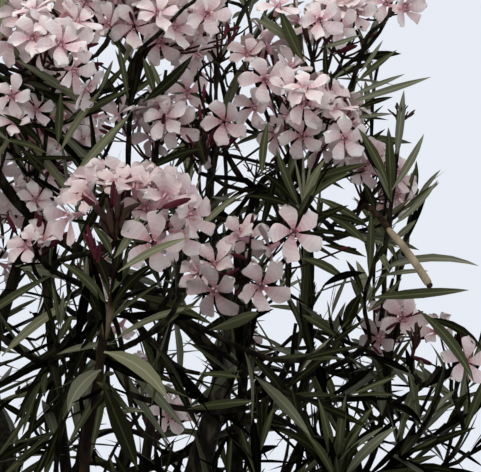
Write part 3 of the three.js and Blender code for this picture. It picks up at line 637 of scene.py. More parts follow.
def grow_twigs(mass, shoots):
    """Twigs of one mass: each leaves a point of the twigs already there, below its own tip."""
    arriving = mass["bough"].way(1)
    foot = mass["bough"].point(1)
    hub = foot + arriving * MASS_STEM_LENGTH
    twigs = [Limb(foot - arriving * MASS_STEM_SUNK, arriving, hub, arriving, *MASS_STEM_RADII)]
    joints = [{"at": hub, "along": arriving}]
    for shoot in sorted(shoots, key=lambda shoot: (not shoot["main"], np.linalg.norm(shoot["tip"] - hub))):
        joint = choose_joint(joints, shoot["tip"])
        to_tip = unit(shoot["tip"] - joint["at"])
        leaving = unit(joint["along"] * TWIG_BEND + to_tip)
        lift = np.clip(to_tip[2] - TWIG_LIFT_FROM, LEAST_TWIG_LIFT, 1)
        rising = growth_direction(shoot["tip"]) + UP * TWIG_TIP_RISE
        lifted = unit(rising * lift + to_tip * TWIG_TIP_RISE)
        start = joint["at"] - leaving * TWIG_SUNK
        foot_radius = TWIG_RADIUS if shoot["main"] else FINE_TWIG_RADIUS
        twig = Limb(start, leaving, shoot["tip"], lifted, foot_radius, TWIG_TIP_RADIUS, shoot=shoot)
        twigs.append(twig)
        joints += [{"at": twig.point(share), "along": twig.way(share)} for share in JOINT_SHARES]
    return twigs


def nearest_below(limbs, place, drop):
    """The nearest point of the limbs that lies a drop or more below a place, and the limb's way there."""
    points = np.concatenate([limb.point(BEARING_SHARES) for limb in limbs])
    ways = np.concatenate([limb.way(BEARING_SHARES) for limb in limbs])
    lower = points[:, 2] < place[2] - drop
    nearest = np.argmin(np.where(lower, np.linalg.norm(points - place, axis=1), math.inf))
    return points[nearest], ways[nearest]


def grow_front_limbs(limbs, twigs):
    """The upright limbs of the front, each in spans from place to place; a stalk leaves the nearest twig."""
    grown = []
    for foot_width, tip_width, kind, places in FRONT_ROUTES:
        chain = [at_view(*place) for place in places]
        if kind == "stalk":
            root, way = nearest_below(twigs + grown, chain.pop(0), 0.0)
        else:
            root, way = nearest_below(limbs, chain[0], FRONT_LIMB_DROP)
        chain.insert(0, root)
        ways = [unit(way + unit(chain[1] - root))]
        ways += [unit(after - before) for before, after in zip(chain, chain[2:])]
        ways.append(unit(chain[-1] - chain[-2] + UP * FRONT_TIP_RISE))
        lengths = np.cumsum([0] + [np.linalg.norm(b - a) for a, b in zip(chain, chain[1:])])
        radii = (foot_width + (tip_width - foot_width) * lengths / lengths[-1]) * MM
        for span in range(len(chain) - 1):
            end = span + 1
            grown.append(Limb(chain[span], ways[span], chain[end], ways[end], radii[span], radii[end]))
            grown[-1].in_foreground = kind == "foreground"
        if kind != "stalk":
            carried = "knot" if kind == "foreground" else kind
            grown[-2].shoot = {"kind": "bare"}
            grown[-1].shoot = {"kind": carried}
    return grown


def grow_plant():
    stems = [grow_stem(*row) for row in MAIN_STEMS]
    masses = make_masses()
    share_out_masses(masses, stems)
    limbs = list(stems)
    for stem in stems:
        grow_boughs(stem, masses, limbs)
    centres = np.array([mass["centre"] for mass in masses])
    homes = [[] for _ in masses]
    for shoot in place_shoots():
        nearest = int(np.argmin(np.linalg.norm(centres - shoot["tip"], axis=1)))
        homes[nearest].append(shoot)
    twigs = [twig for mass, shoots in zip(masses, homes) for twig in grow_twigs(mass, shoots)]
    boughs = [mass["bough"] for mass in masses]
    return stems, boughs, twigs + grow_front_limbs(stems + boughs, twigs)


# Meshes made from arrays
class Stock:
    """Vertices and faces gathered for one joined piece."""

    def __init__(self):
        self.vertices, self.faces, self.slots, self.count = [], [], [], 0

    def add(self, vertices, *groups, slots=0):
        """Adds vertices and groups of faces. slots is one material slot for all faces, or one for each."""
        vertices = np.asarray(vertices, np.float32).reshape(-1, 3)
        self.vertices.append(vertices)
        for faces in groups:
            self.faces.append(np.asarray(faces, np.int64) + self.count)
            self.slots.append(np.broadcast_to(slots, len(faces)).astype(np.int32))
        self.count += len(vertices)

    def mesh(self, name, materials, smooth=True):
        totals = np.concatenate([np.full(len(group), group.shape[1]) for group in self.faces])
        corners = np.concatenate([group.reshape(-1) for group in self.faces])
        vertices = np.concatenate(self.vertices)
        mesh = bpy.data.meshes.new(name)
        mesh.vertices.add(len(vertices))
        mesh.vertices.foreach_set("co", vertices.reshape(-1))
        mesh.loops.add(len(corners))
        mesh.loops.foreach_set("vertex_index", corners.astype(np.int32))
        mesh.polygons.add(len(totals))
        starts = np.concatenate([[0], np.cumsum(totals)[:-1]])
        mesh.polygons.foreach_set("loop_start", starts.astype(np.int32))
        mesh.polygons.foreach_set("loop_total", totals.astype(np.int32))
        mesh.polygons.foreach_set("material_index", np.concatenate(self.slots))
        mesh.polygons.foreach_set("use_smooth", np.full(len(totals), smooth))
        for material in materials:
            mesh.materials.append(material)
        mesh.update(calc_edges=True)
        mesh.validate()
        return mesh


def link(name, data):
    """A new object, put in the scene."""
    made = bpy.data.objects.new(name, data)
    bpy.context.scene.collection.objects.link(made)
    return made


def show(stock, name, materials, nodes=(), smooth=True):
    """Puts a gathered piece in the scene, riding on the plant."""
    piece = link(name, stock.mesh(name, materials, smooth))
    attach(piece, "root")
    if nodes:
        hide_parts(*nodes)


def grid_faces(rows, columns, closed=False):
    """Quads of a grid of points, row by row; closed joins the last column to the first."""
    across = columns if closed else columns - 1
    row, column = np.meshgrid(np.arange(rows - 1), np.arange(across), indexing="ij")
    next_column = (column + 1) % columns
    first = row * columns + column
    second = row * columns + next_column
    return np.stack([first, second, second + columns, first + columns], -1).reshape(-1, 4)


def repeated(faces, copies, points_each):
    """Face indices of many copies of one grid."""
    shift = (np.arange(copies) * points_each)[:, None, None]
    return (faces[None] + shift).reshape(-1, faces.shape[1])


def frames_along(chain):
    """Two unit vectors square to a chain of points, carried along without twisting."""
    ways = unit(np.gradient(chain, axis=0))
    side = sideways(ways[0])
    sides = []
    for way in ways:
        side = unit(side - way * (side @ way))
        sides.append(side)
    sides = np.array(sides)
    return sides, np.cross(ways, sides)


def add_tube(stock, chain, radii, around, slot=0):
    """Adds a closed tube along a chain of points. radii is (rings,) or (rings, around)."""
    radii = np.broadcast_to(np.asarray(radii, float).reshape(len(chain), -1), (len(chain), around))
    rings = chain[:, None] + swept(*frames_along(chain), angles_round(around)) * radii[..., None]
    vertices = np.concatenate([rings.reshape(-1, 3), chain[:1], chain[-1:]])
    first, last = len(chain) * around, len(chain) * around + 1
    column = np.arange(around)
    following = (column + 1) % around
    top = (len(chain) - 1) * around
    caps = np.concatenate([
        np.stack([np.full(around, first), following, column], -1),
        np.stack([np.full(around, last), top + column, top + following], -1),
    ])
    stock.add(vertices, grid_faces(len(chain), around, closed=True), caps, slots=slot)


# Materials
def material(name, colour, roughness, specular=0.5, sheen=0.0):
    made = bpy.data.materials.new(name)
    made.use_nodes = True
    shader = made.node_tree.nodes["Principled BSDF"]
    shader.inputs["Base Color"].default_value = (*colour, 1)
    shader.inputs["Roughness"].default_value = roughness
    shader.inputs["Specular IOR Level"].default_value = specular
    shader.inputs["Sheen Weight"].default_value = sheen
    return made, made.node_tree, shader


def add_noise(tree, scale, detail=4.0, stretch=(1, 1, 1)):
    place = tree.nodes.new("ShaderNodeTexCoord")
    mapping = tree.nodes.new("ShaderNodeMapping")
    mapping.inputs["Scale"].default_value = stretch
    noise = tree.nodes.new("ShaderNodeTexNoise")
    noise.inputs["Scale"].default_value = scale
    noise.inputs["Detail"].default_value = detail
    tree.links.new(place.outputs["Object"], mapping.inputs["Vector"])
    tree.links.new(mapping.outputs["Vector"], noise.inputs["Vector"])
    return noise.outputs["Fac"]


def add_bump(tree, shader, height, strength, distance):
    bump = tree.nodes.new("ShaderNodeBump")
    bump.inputs["Strength"].default_value = strength
    bump.inputs["Distance"].default_value = distance
    tree.links.new(height, bump.inputs["Height"])
    tree.links.new(bump.outputs["Normal"], shader.inputs["Normal"])


def add_mottle(tree, shader, noise, colours, low=0.35, high=0.65):
    """Base colour that wanders between the given colours with a noise."""
    ramp = tree.nodes.new("ShaderNodeValToRGB")
    stops = ramp.color_ramp.elements
    stops[0].position, stops[1].position = low, high
    stops[0].color, stops[1].color = (*colours[0], 1), (*colours[-1], 1)
    for order, colour in enumerate(colours[1:-1], start=1):
        stop = stops.new(low + (high - low) * order / (len(colours) - 1))
        stop.color = (*colour, 1)
    tree.links.new(noise, ramp.inputs["Fac"])
    tree.links.new(ramp.outputs["Color"], shader.inputs["Base Color"])


def leaf_material(name, colour, gloss):
    made, tree, shader = material(name, colour, roughness=0.45, specular=gloss)
    add_bump(tree, shader, add_noise(tree, 900.0, detail=3.0), strength=0.25, distance=0.0004)
    return made


def petal_material(name, colour):
    made, tree, shader = material(name, colour, roughness=0.6, specular=0.15, sheen=0.12)
    flushed = np.array(colour) * (0.95, 0.84, 0.87)
    add_mottle(tree, shader, add_noise(tree, 85.0), (flushed, colour), low=0.34, high=0.62)
    add_bump(tree, shader, add_noise(tree, 500.0, detail=3.0), strength=0.3, distance=0.0004)
    return made


def bud_material(name, colour):
    made, tree, shader = material(name, colour, roughness=0.7, specular=0.08)
    lit = np.array(colour) * 1.6
    add_mottle(tree, shader, add_noise(tree, 140.0), (colour, lit), low=0.4, high=0.7)
    return made


def bark_material(name, dark, middle, light, scale):
    made, tree, shader = material(name, middle, roughness=0.8, specular=0.05)
    coarse = add_noise(tree, scale, detail=9.0, stretch=(1, 1, 0.22))
    add_mottle(tree, shader, coarse, (dark, middle, light), low=0.38, high=0.64)
    fine = add_noise(tree, scale * 4, detail=8.0, stretch=(1, 1, 0.3))
    add_bump(tree, shader, fine, strength=0.9, distance=0.0016)
    return made


CLAY_MARKS_SHARE = 0.8


def clay_material():
    made, tree, shader = material("clay", (0.40, 0.20, 0.13), roughness=0.88, specular=0.25)
    coarse = add_noise(tree, 9.0, detail=7.0, stretch=(1, 1, 0.7))
    colours = ((0.30, 0.145, 0.09), (0.42, 0.215, 0.14), (0.47, 0.27, 0.19), (0.60, 0.45, 0.36))
    add_mottle(tree, shader, coarse, colours, low=0.32, high=0.74)
    grain = add_noise(tree, 240.0, detail=8.0)
    turning_marks = add_noise(tree, 130.0, detail=2.0, stretch=(0.02, 0.02, 1))
    height = tree.nodes.new("ShaderNodeMath")
    height.operation = "MULTIPLY_ADD"
    height.inputs[1].default_value = CLAY_MARKS_SHARE
    tree.links.new(turning_marks, height.inputs[0])
    tree.links.new(grain, height.inputs[2])
    add_bump(tree, shader, height.outputs["Value"], strength=0.7, distance=0.0014)
    return made


def soil_material():
    made, tree, shader = material("soil", (0.035, 0.022, 0.015), roughness=0.95, specular=0.2)
    coarse = add_noise(tree, 60.0, detail=8.0)
    add_mottle(tree, shader, coarse, ((0.016, 0.010, 0.007), (0.040, 0.026, 0.017), (0.085, 0.058, 0.038)))
    add_bump(tree, shader, coarse, strength=0.9, distance=0.004)
    return made


# Bark of stems and boughs: dark, middle and light colours, relief, and raised scars where old leaves stood.
# The colours are near black, darker than the bark's own grey-brown, as painted shade under the crown
OLD_BARK_COLOURS = ((0.006, 0.005, 0.003), (0.018, 0.014, 0.009), (0.070, 0.056, 0.040))
YOUNG_BARK_COLOURS = ((0.003, 0.0025, 0.0015), (0.009, 0.007, 0.004), (0.030, 0.024, 0.012))
RED_BARK_COLOURS = ((0.006, 0.003, 0.002), (0.026, 0.015, 0.008), (0.165, 0.125, 0.065))
OCTAVES = 5
WAVES_ALONG = (20, 70)
WAVE_BEND = 1.7
WAVE_SUM = 2.3
BARK_RELIEF = 0.055
SCAR_SHIFT = 0.013
SCAR_WIDTH = 0.0028
SCAR_EVENNESS = 0.6
SCARS_AROUND = 3
BARE_END = 0.010
STEM_BARK = {"ring_spacing": 0.0045, "around": 24, "scar_spacing": 0.046, "scar_height": 0.07}
BOUGH_BARK = {"ring_spacing": 0.005, "around": 14, "scar_spacing": 0.038, "scar_height": 0.10}
LEAST_RINGS = 24
FIRST_BOUGH_SEED = 20


def waves(angles, heights, seed):
    """A sum of seeded waves over a limb's surface, about -1 to 1."""
    random = np.random.default_rng(seed)
    total = np.zeros(np.broadcast(angles, heights).shape)
    for octave in range(1, OCTAVES + 1):
        around = random.integers(1, 3 + octave * 2)
        along = random.uniform(*WAVES_ALONG) * octave
        phase = random.uniform(0, FULL_TURN, 2)
        total += np.sin(around * angles + phase[0] + WAVE_BEND * np.sin(along * heights + phase[1])) / octave
    return total / WAVE_SUM


def bark_piece(name, limb, seed, bark, slot, ring_spacing, around, scar_spacing, scar_height):
    """One limb with ridged bark and the raised rings of old leaf scars."""
    shares = np.linspace(0, 1, max(LEAST_RINGS, int(limb.length / ring_spacing)))
    distance = shares * limb.length
    angles = angles_round(around)
    ridges = BARK_RELIEF * waves(angles[None], distance[:, None], seed)
    past_scar = (distance + seed * SCAR_SHIFT) % scar_spacing
    from_scar = np.minimum(past_scar, scar_spacing - past_scar)[:, None]
    number = np.floor((distance + seed * SCAR_SHIFT) / scar_spacing)[:, None]
    uneven = SCAR_EVENNESS + (1 - SCAR_EVENNESS) * np.cos(SCARS_AROUND * angles + number * math.pi)
    scars = scar_height * np.exp(-(from_scar / SCAR_WIDTH) ** 2) * uneven
    end_fade = np.clip(np.minimum(distance, limb.length - distance) / BARE_END, 0.0, 1.0)[:, None]
    stock = Stock()
    radii = limb.radius(shares)[:, None] * (1 + (ridges + scars) * end_fade)
    add_tube(stock, limb.point(shares), radii, around)
    show(stock, name + "_bark", [bark], [name])


def dress_limbs(stems, boughs):
    old = bark_material("old_bark", *OLD_BARK_COLOURS, scale=110.0)
    young = bark_material("young_bark", *YOUNG_BARK_COLOURS, scale=120.0)
    for index, stem in enumerate(stems, start=1):
        bark_piece(f"stem_{index}", stem, index, old, "bark", **STEM_BARK)
    for index, bough in enumerate(boughs, start=1):
        bark_piece(f"bough_{index}", bough, FIRST_BOUGH_SEED + index, young, "young_bark", **BOUGH_BARK)
    return young


# Twigs, which swell at every other ring, and the limb of the foreground with its own relief
TWIG_RING_SPACING = 0.014
LEAST_TWIG_RINGS = 5
TWIG_SIDES = 6
NODE_SWELLING = 0.16
FOREGROUND_SIDES = 14
FOREGROUND_RELIEF = 0.06
FOREGROUND_SEED = 3


def dress_twigs(twigs, bark, nodes):
    stock, front = Stock(), Stock()
    for twig in twigs:
        rings = max(LEAST_TWIG_RINGS, int(twig.length / TWIG_RING_SPACING))
        shares = np.linspace(0, 1, rings)
        radii = twig.radius(shares) * (1 + NODE_SWELLING * (np.arange(rings) % 2))
        if twig.in_foreground:
            angles = angles_round(FOREGROUND_SIDES)[None]
            ridges = waves(angles, shares[:, None] * twig.length, FOREGROUND_SEED)
            radii = radii[:, None] * (1 + FOREGROUND_RELIEF * ridges)
            add_tube(front, twig.point(shares), radii, FOREGROUND_SIDES)
        else:
            add_tube(stock, twig.point(shares), radii, TWIG_SIDES)
    show(stock, "twigs", [bark], nodes)
    red = bark_material("red_bark", *RED_BARK_COLOURS, scale=48.0)
    show(front, "front_limb", [red])


# Leaves: half widths by station, as shares of the greatest, then how a blade folds and bends
LEAF_STATIONS = np.array([0, 0.06, 0.20, 0.38, 0.56, 0.74, 0.89, 1.0])
LEAF_OUTLINE = np.array([0.14, 0.18, 0.66, 0.95, 1.0, 0.76, 0.40, 0.03])
BLADE_COLUMNS = 4
LEAF_FOLD = 0.30
RIB_HALF_WIDTH = 0.0007
MOST_RIB_SHARE = 0.5
BEND_BACKWARDS = 0.55
BEND_DOWNWARDS = 0.6
PLACED_LEAF_TILT = 0.35
# A shoot's whorls from its tip down; leaves are full-grown, and whorls widely spaced, a reach below the tip
FIRST_WHORL_UNDER_HEAD = 0.010
FIRST_WHORL_AT_TIP = -0.002
LEAFY_LENGTH = (0.12, 0.23)
MOST_LEAFY_SHARE = 0.85
GROWN_REACH = 0.10
WHORL_SPACING = 0.013
WHORL_SPACING_GROWTH = 0.021
WHORL_SPACING_SPREAD = (0.85, 1.2)
LOST_LEAVES = 0.06
LEAF_SEAT = 0.6
AROUND_SPREAD = 0.12
# How far leaves open from their shoot: degrees at the tip, degrees more lower down, and that reach
OPENING_UNDER_HEAD = (42, 40, 0.13)
OPENING_AT_TIP = (12, 68, 0.17)
OPENING_SPREAD = 9
LEAF_LENGTH = 0.062
LEAF_LENGTH_GROWTH = 0.044
LEAF_LENGTH_SPREAD = (0.82, 1.15)
TIP_WHORL_SHARES = (0.72, 0.84, 0.96)
LEAF_SLENDERNESS = (0.095, 0.125)
LEAF_BEND = (0.02, 0.16)
GROWN_LEAF_BEND = 0.12
LEAF_TWIST = 0.35
# Leaves left off: out of the crown, low down, too many inside it, before the placed flowers
MOST_CROWN_SHARE = 1.015
LOWEST_LEAF = POT_HEIGHT + 0.05
INNER_FROM = 0.30
INNER_LOSS = 0.34
AIRY_INNER_LOSS = 0.54
FLOWER_RADIUS_IN_VIEW = 19
FLOWER_DEPTH = 0.01
# Name, blade, rib and gloss of each tint, and the draws at which the next one begins. The tints run from
# painted shade (leaves_shade, near black) to leaves with painted light on them (grey, olive), mixed with
# each leaf's own tone
LEAF_TINTS = [
    ("leaves_shade", (0.0015, 0.0015, 0.0006), (0.005, 0.005, 0.002), 0.0),
    ("leaves_dark", (0.0095, 0.0100, 0.0028), (0.034, 0.034, 0.012), 0.03),
    ("leaves_green", (0.052, 0.056, 0.021), (0.118, 0.121, 0.055), 0.08),
    ("leaves_grey", (0.128, 0.129, 0.076), (0.215, 0.213, 0.132), 0.16),
    ("leaves_olive", (0.165, 0.160, 0.082), (0.245, 0.236, 0.140), 0.16),
]
LEAF_TINT_STEPS = (0.22, 0.49, 0.79, 0.95)
# A draw grows with the height in the crown and falls with the depth inside it: painted light on the high
# leaves, painted shade on the inner ones
PALER_WITH_HEIGHT = 0.8
PALER_FROM = -0.06
PALER_LIMITS = (-0.25, 0.3)
DARKER_WITH_DEPTH = 0.5
DARKER_FROM = 0.25


def blades(centre, side, upper, half_width):
    """Points (..., station, column, 3) of leaf blades, folded along their ribs."""
    half = half_width * LEAF_OUTLINE
    rib = np.minimum(RIB_HALF_WIDTH, half * MOST_RIB_SHARE)
    columns = np.stack([-half, -rib, rib, half], -1)[..., None]
    folded = upper[..., None, :] * np.abs(columns) * LEAF_FOLD
    return centre[..., None, :] + side[..., None, :] * columns + folded


def leaf_grids(leaves):
    """Points (leaf, station, column, 3) of many leaves at once."""
    root, along, face = gather(leaves, "root", "along", "face")
    sizes = gather(leaves, "length", "width", "bend", "twist")
    length, width, bend, twist = (size[:, None] for size in sizes)
    t = LEAF_STATIONS[None]
    pull = unit(-face * BEND_BACKWARDS - UP * BEND_DOWNWARDS)[:, None]
    reach = t[..., None] * along[:, None] + (bend * t ** 2)[..., None] * pull
    centre = root[:, None] + length[..., None] * reach
    way = unit(along[:, None] + 2 * (bend * t)[..., None] * pull)
    side = np.broadcast_to(unit(np.cross(face, along))[:, None], way.shape)
    upper = unit(np.cross(way, side))
    angle = (twist * t)[..., None]
    side, upper = side * np.cos(angle) + upper * np.sin(angle), upper * np.cos(angle) - side * np.sin(angle)
    return blades(centre, side, upper, width / 2)


def whorls_of(twig, random):
    """The leaves of one shoot, in whorls of three from its tip down."""
    flowering = twig.kind() in ("bloom", "knot", "bare")
    from_degrees, more_degrees, reach = OPENING_UNDER_HEAD if flowering else OPENING_AT_TIP
    leafy = min(twig.length * MOST_LEAFY_SHARE, random.uniform(*LEAFY_LENGTH))
    back = FIRST_WHORL_UNDER_HEAD if flowering else FIRST_WHORL_AT_TIP
    order, turn = 0, random.uniform(0, FULL_TURN)
    leaves = []
    while back < leafy:
        share = 1 - max(back, 0) / twig.length
        at, along = twig.point(share), twig.way(share)
        side = sideways(along)
        grown = np.clip(back / GROWN_REACH, 0, 1)
        for leaf in range(3):
            if random.uniform() < LOST_LEAVES:
                continue
            angle = turn + leaf * FULL_TURN / 3 + random.normal(0, AROUND_SPREAD)
            outward = turned(side, along, angle)
            opening = from_degrees + more_degrees * np.clip(back / reach, 0, 1)
            opening = math.radians(opening + random.normal(0, OPENING_SPREAD))
            heading = unit(along * math.cos(opening) + outward * math.sin(opening))
            length = (LEAF_LENGTH + LEAF_LENGTH_GROWTH * grown) * random.uniform(*LEAF_LENGTH_SPREAD)
            if not flowering and order < len(TIP_WHORL_SHARES):
                length *= TIP_WHORL_SHARES[order]
            leaves.append({
                "root": at + outward * twig.radius(share) * LEAF_SEAT,
                "along": heading,
                "face": unit(along - heading * (along @ heading)),
                "length": length,
                "width": length * random.uniform(*LEAF_SLENDERNESS),
                "bend": random.uniform(*LEAF_BEND) + GROWN_LEAF_BEND * grown * random.uniform(0, 1),
                "twist": random.normal(0, LEAF_TWIST),
                "inner": 1 - float(crown_share(at)),
            })
        back += (WHORL_SPACING + WHORL_SPACING_GROWTH * grown) * random.uniform(*WHORL_SPACING_SPREAD)
        turn += math.pi / 3
        order += 1
    return leaves


def placed_leaves(tint):
    """The single leaves of the front that have a tint, as points (leaf, station, column, 3)."""
    grids = []
    t = LEAF_STATIONS[:, None]
    for *places, width, rise in FRONT_LEAVES[tint]:
        start, end = at_view(*places[:3]), at_view(*places[3:])
        along = unit(end - start)
        to_eye = unit(CAMERA_PLACE - (start + end) / 2)
        arch = unit(UP - along * along[2]) * rise * MM
        centre = start + (end - start) * t + arch * 4 * t * (1 - t)
        way = unit(np.gradient(centre, axis=0))
        across = unit(np.cross(to_eye + UP * PLACED_LEAF_TILT, way))
        grids.append(blades(centre, across, np.cross(way, across), width * MM / 2))
    return np.array(grids)


def leaves_kept(grids, inner, random):
    """Which leaves stay: those in the crown, clear of its openings and not before the placed flowers."""
    in_reach = crown_share(grids).max(axis=(1, 2)) < MOST_CROWN_SHARE
    high = grids[..., 2].min(axis=(1, 2)) > LOWEST_LEAF
    loss = np.where(in_window(grids[:, 0].mean(axis=1), AIRY_PART), AIRY_INNER_LOSS, INNER_LOSS)
    thinned = (inner > INNER_FROM) & (random.uniform(size=len(inner)) < loss)
    chain = grids[:, :-1].mean(axis=2)
    chain = np.concatenate([chain, (chain[:, 1:] + chain[:, :-1]) / 2], axis=1)
    in_hole = in_openings(chain, spare=LEAF_SPARE).any(axis=1)
    column, row, distance = seen_at(chain)
    before = np.zeros(len(inner), bool)
    for flower_column, flower_row, flower_distance, _, _, size, knot in FRONT_FLOWERS:
        if knot != HALF_HIDDEN_KNOT:
            near = np.hypot(column - flower_column, row - flower_row) < FLOWER_RADIUS_IN_VIEW * size
            before |= (near & (distance < flower_distance + FLOWER_DEPTH)).any(axis=1)
    return in_reach & high & ~thinned & ~in_hole & ~before


def dress_leaves(twigs, nodes):
    random = np.random.default_rng(7)
    leaves = [leaf for twig in twigs if twig.shoot for leaf in whorls_of(twig, random)]
    grids = leaf_grids(leaves)
    (inner,) = gather(leaves, "inner")
    kept = leaves_kept(grids, inner, random)
    # Painted light by height and painted shade by depth in the crown shift each leaf's tint
    painted_light = PALER_WITH_HEIGHT * np.clip(crown_height(grids[:, 0, 0]) - PALER_FROM, *PALER_LIMITS)
    painted_shade = DARKER_WITH_DEPTH * np.clip(inner - DARKER_FROM, 0, 1)
    tints = np.digitize(random.uniform(size=len(leaves)) + painted_light - painted_shade, LEAF_TINT_STEPS)
    faces = grid_faces(len(LEAF_STATIONS), BLADE_COLUMNS)
    points = len(LEAF_STATIONS) * BLADE_COLUMNS
    on_rib = np.tile(np.array([0, 1, 0]), len(LEAF_STATIONS) - 1)
    for index, (name, blade, rib, gloss) in enumerate(LEAF_TINTS):
        chosen = np.concatenate([grids[kept & (tints == index)], placed_leaves(name)])
        copies = len(chosen)
        stock = Stock()
        stock.add(chosen, repeated(faces, copies, points), slots=np.tile(on_rib, copies))
        materials = [leaf_material(name, blade, gloss), leaf_material(name + "_rib", rib, gloss)]
        show(stock, name, materials, nodes)


# Flowers: a throat's tube, five turned petals and the fringed flaps in the throat
PETAL_STATIONS = np.array([0, 0.14, 0.32, 0.52, 0.71, 0.86, 0.96, 1.0])
PETAL_HALF_WIDTHS = np.array([1.7, 3.1, 5.1, 6.9, 7.9, 7.6, 5.8, 3.1]) * MM
PETAL_COLUMNS = np.array([-1, -0.55, 0, 0.55, 1])
PETAL_LENGTH = 0.0225
PETAL_SEAT = 0.9
ROUNDED_END = 0.13
END_POWER = 2.2
WIDER_SIDE = 0.20
PETAL_SKEW = 0.0030
PETAL_CUP = 0.0022
PETAL_RIPPLE = 0.0021
RIPPLE_WAVES = 3.4
PETAL_CURL = (-0.0015, 0.0070)
CURL_POWER = 2.5
AROUND_THROAT_SPREAD = 0.06
TILT_SPREAD = 0.21
PETAL_SIZES = (0.94, 1.06)
THROAT_RADIUS = 0.0040
TUBE_LENGTH = 0.016
TUBE_RINGS = ((-TUBE_LENGTH, 0.0012), (-0.006, 0.0026), (0.0, THROAT_RADIUS))
TUBE_SIDES = 8
# One flap: places across and heights in millimetres of its points, and the triangles between them
FLAP_POINTS = np.array([(-1.0, 0.0), (1.0, 0.0), (-0.9, 4.6), (-0.3, 2.6), (0.3, 5.2), (0.9, 2.8)])
FLAP_FACES = np.array([(0, 3, 2), (0, 1, 3), (1, 4, 3), (1, 5, 4)])
FLAP_HALF_ANGLE = 0.42
FLAP_RADIUS = 3.4
FLAP_LEAN = 0.22
# Name and colours of rim and throat of each tint: lit and shaded copies of one colour, painted light and
# shade for the placed flowers, a random tone for the heads
PETAL_TINTS = (
    ("petals_bright", np.array([0.93, 0.870, 0.810]), np.array([0.64, 0.38, 0.38])),
    ("petals_pale", np.array([0.84, 0.765, 0.705]), np.array([0.55, 0.31, 0.31])),
    ("petals_shaded", np.array([0.72, 0.635, 0.585]), np.array([0.45, 0.24, 0.24])),
)
DULLEST_TINT = len(PETAL_TINTS) - 1
# How far the colour of each band, from station to station, lies from the throat's towards the rim's
PETAL_BAND_SHARES = (0.0, 0.34, 0.58, 0.76, 0.88, 0.96, 1.0)


def flower_frames(flowers):
    """Throat centre, facing and two vectors square to it, for many flowers at once."""
    base, facing, spin, size = gather(flowers, "base", "facing", "spin", "size")
    side = np.array([sideways(way) for way in facing])
    other = np.cross(facing, side)
    cosine, sine = np.cos(spin)[:, None], np.sin(spin)[:, None]
    side, other = side * cosine + other * sine, other * cosine - side * sine
    throat = base + facing * (TUBE_LENGTH * size)[:, None]
    return throat, facing, side, other, size


def petal_grids(flowers, random):
    """Points (flower, petal, station, column, 3) of the five turned petals of each flower."""
    throat, facing, side, other, size = flower_frames(flowers)
    (lift,) = gather(flowers, "lift")
    petals = (len(flowers), 5)
    out = swept(side, other, angles_round(5) + random.normal(0, AROUND_THROAT_SPREAD, petals))
    across = np.cross(facing[:, None], out)
    tilt = (lift[:, None] + random.normal(0, TILT_SPREAD, petals))[..., None, None]
    reach = size[:, None] * random.uniform(*PETAL_SIZES, petals)
    ripple = random.uniform(0, FULL_TURN, petals)[..., None, None]
    curl = random.uniform(*PETAL_CURL, petals)[..., None, None]
    column, station = PETAL_COLUMNS[None], PETAL_STATIONS[:, None]
    forward = PETAL_LENGTH * (station - ROUNDED_END * station ** 2 * np.abs(column) ** END_POWER)
    wide = PETAL_HALF_WIDTHS[:, None] * column * (1 + WIDER_SIDE * column * station)
    wide = wide + PETAL_SKEW * station ** 2
    raised = PETAL_CUP * column ** 2 * station
    raised = raised + PETAL_RIPPLE * np.sin(RIPPLE_WAVES * column + ripple) * station
    cosine, sine = np.cos(tilt), np.sin(tilt)
    outward = THROAT_RADIUS * PETAL_SEAT + forward * cosine - raised * sine
    upward = forward * sine + raised * cosine - curl * station ** CURL_POWER
    local = np.stack(np.broadcast_arrays(outward, upward, wide), -1) * reach[..., None, None, None]
    basis = np.stack([out, np.broadcast_to(facing[:, None], out.shape), across], -2)
    return throat[:, None, None, None] + np.einsum("fpscx,fpxy->fpscy", local, basis)


def throat_grids(flowers):
    throat, facing, side, other, size = flower_frames(flowers)
    out = swept(side, other, angles_round(TUBE_SIDES))
    rings = [
        throat[:, None] + (facing[:, None] * height + out * radius) * size[:, None, None]
        for height, radius in TUBE_RINGS
    ]
    return np.stack(rings, 1)


def corona_points(flowers):
    """Five little fringed flaps that stand in each throat: three teeth on a short base."""
    throat, facing, side, other, size = flower_frames(flowers)
    column, height = np.tile(FLAP_POINTS, (5, 1)).T
    flap_angles = np.repeat(angles_round(5), len(FLAP_POINTS))
    out = swept(side, other, flap_angles + column * FLAP_HALF_ANGLE)
    radius = FLAP_RADIUS - FLAP_LEAN * height
    local = out * radius[:, None] + facing[:, None] * height[:, None]
    return throat[:, None] + local * MM * size[:, None, None]


def add_petals(stock, flowers, random):
    faces = grid_faces(len(PETAL_STATIONS), len(PETAL_COLUMNS))
    bands = np.repeat(np.arange(len(PETAL_BAND_SHARES)), len(PETAL_COLUMNS) - 1)
    copies = len(flowers) * 5
    points = len(PETAL_STATIONS) * len(PETAL_COLUMNS)
    stock.add(petal_grids(flowers, random), repeated(faces, copies, points), slots=np.tile(bands, copies))


def add_throats(stock, flowers):
    faces = grid_faces(len(TUBE_RINGS), TUBE_SIDES, closed=True)
    points = len(TUBE_RINGS) * TUBE_SIDES
    stock.add(throat_grids(flowers), repeated(faces, len(flowers), points))
    faces = repeated(FLAP_FACES, len(flowers) * 5, len(FLAP_POINTS))
    stock.add(corona_points(flowers), faces, slots=1)


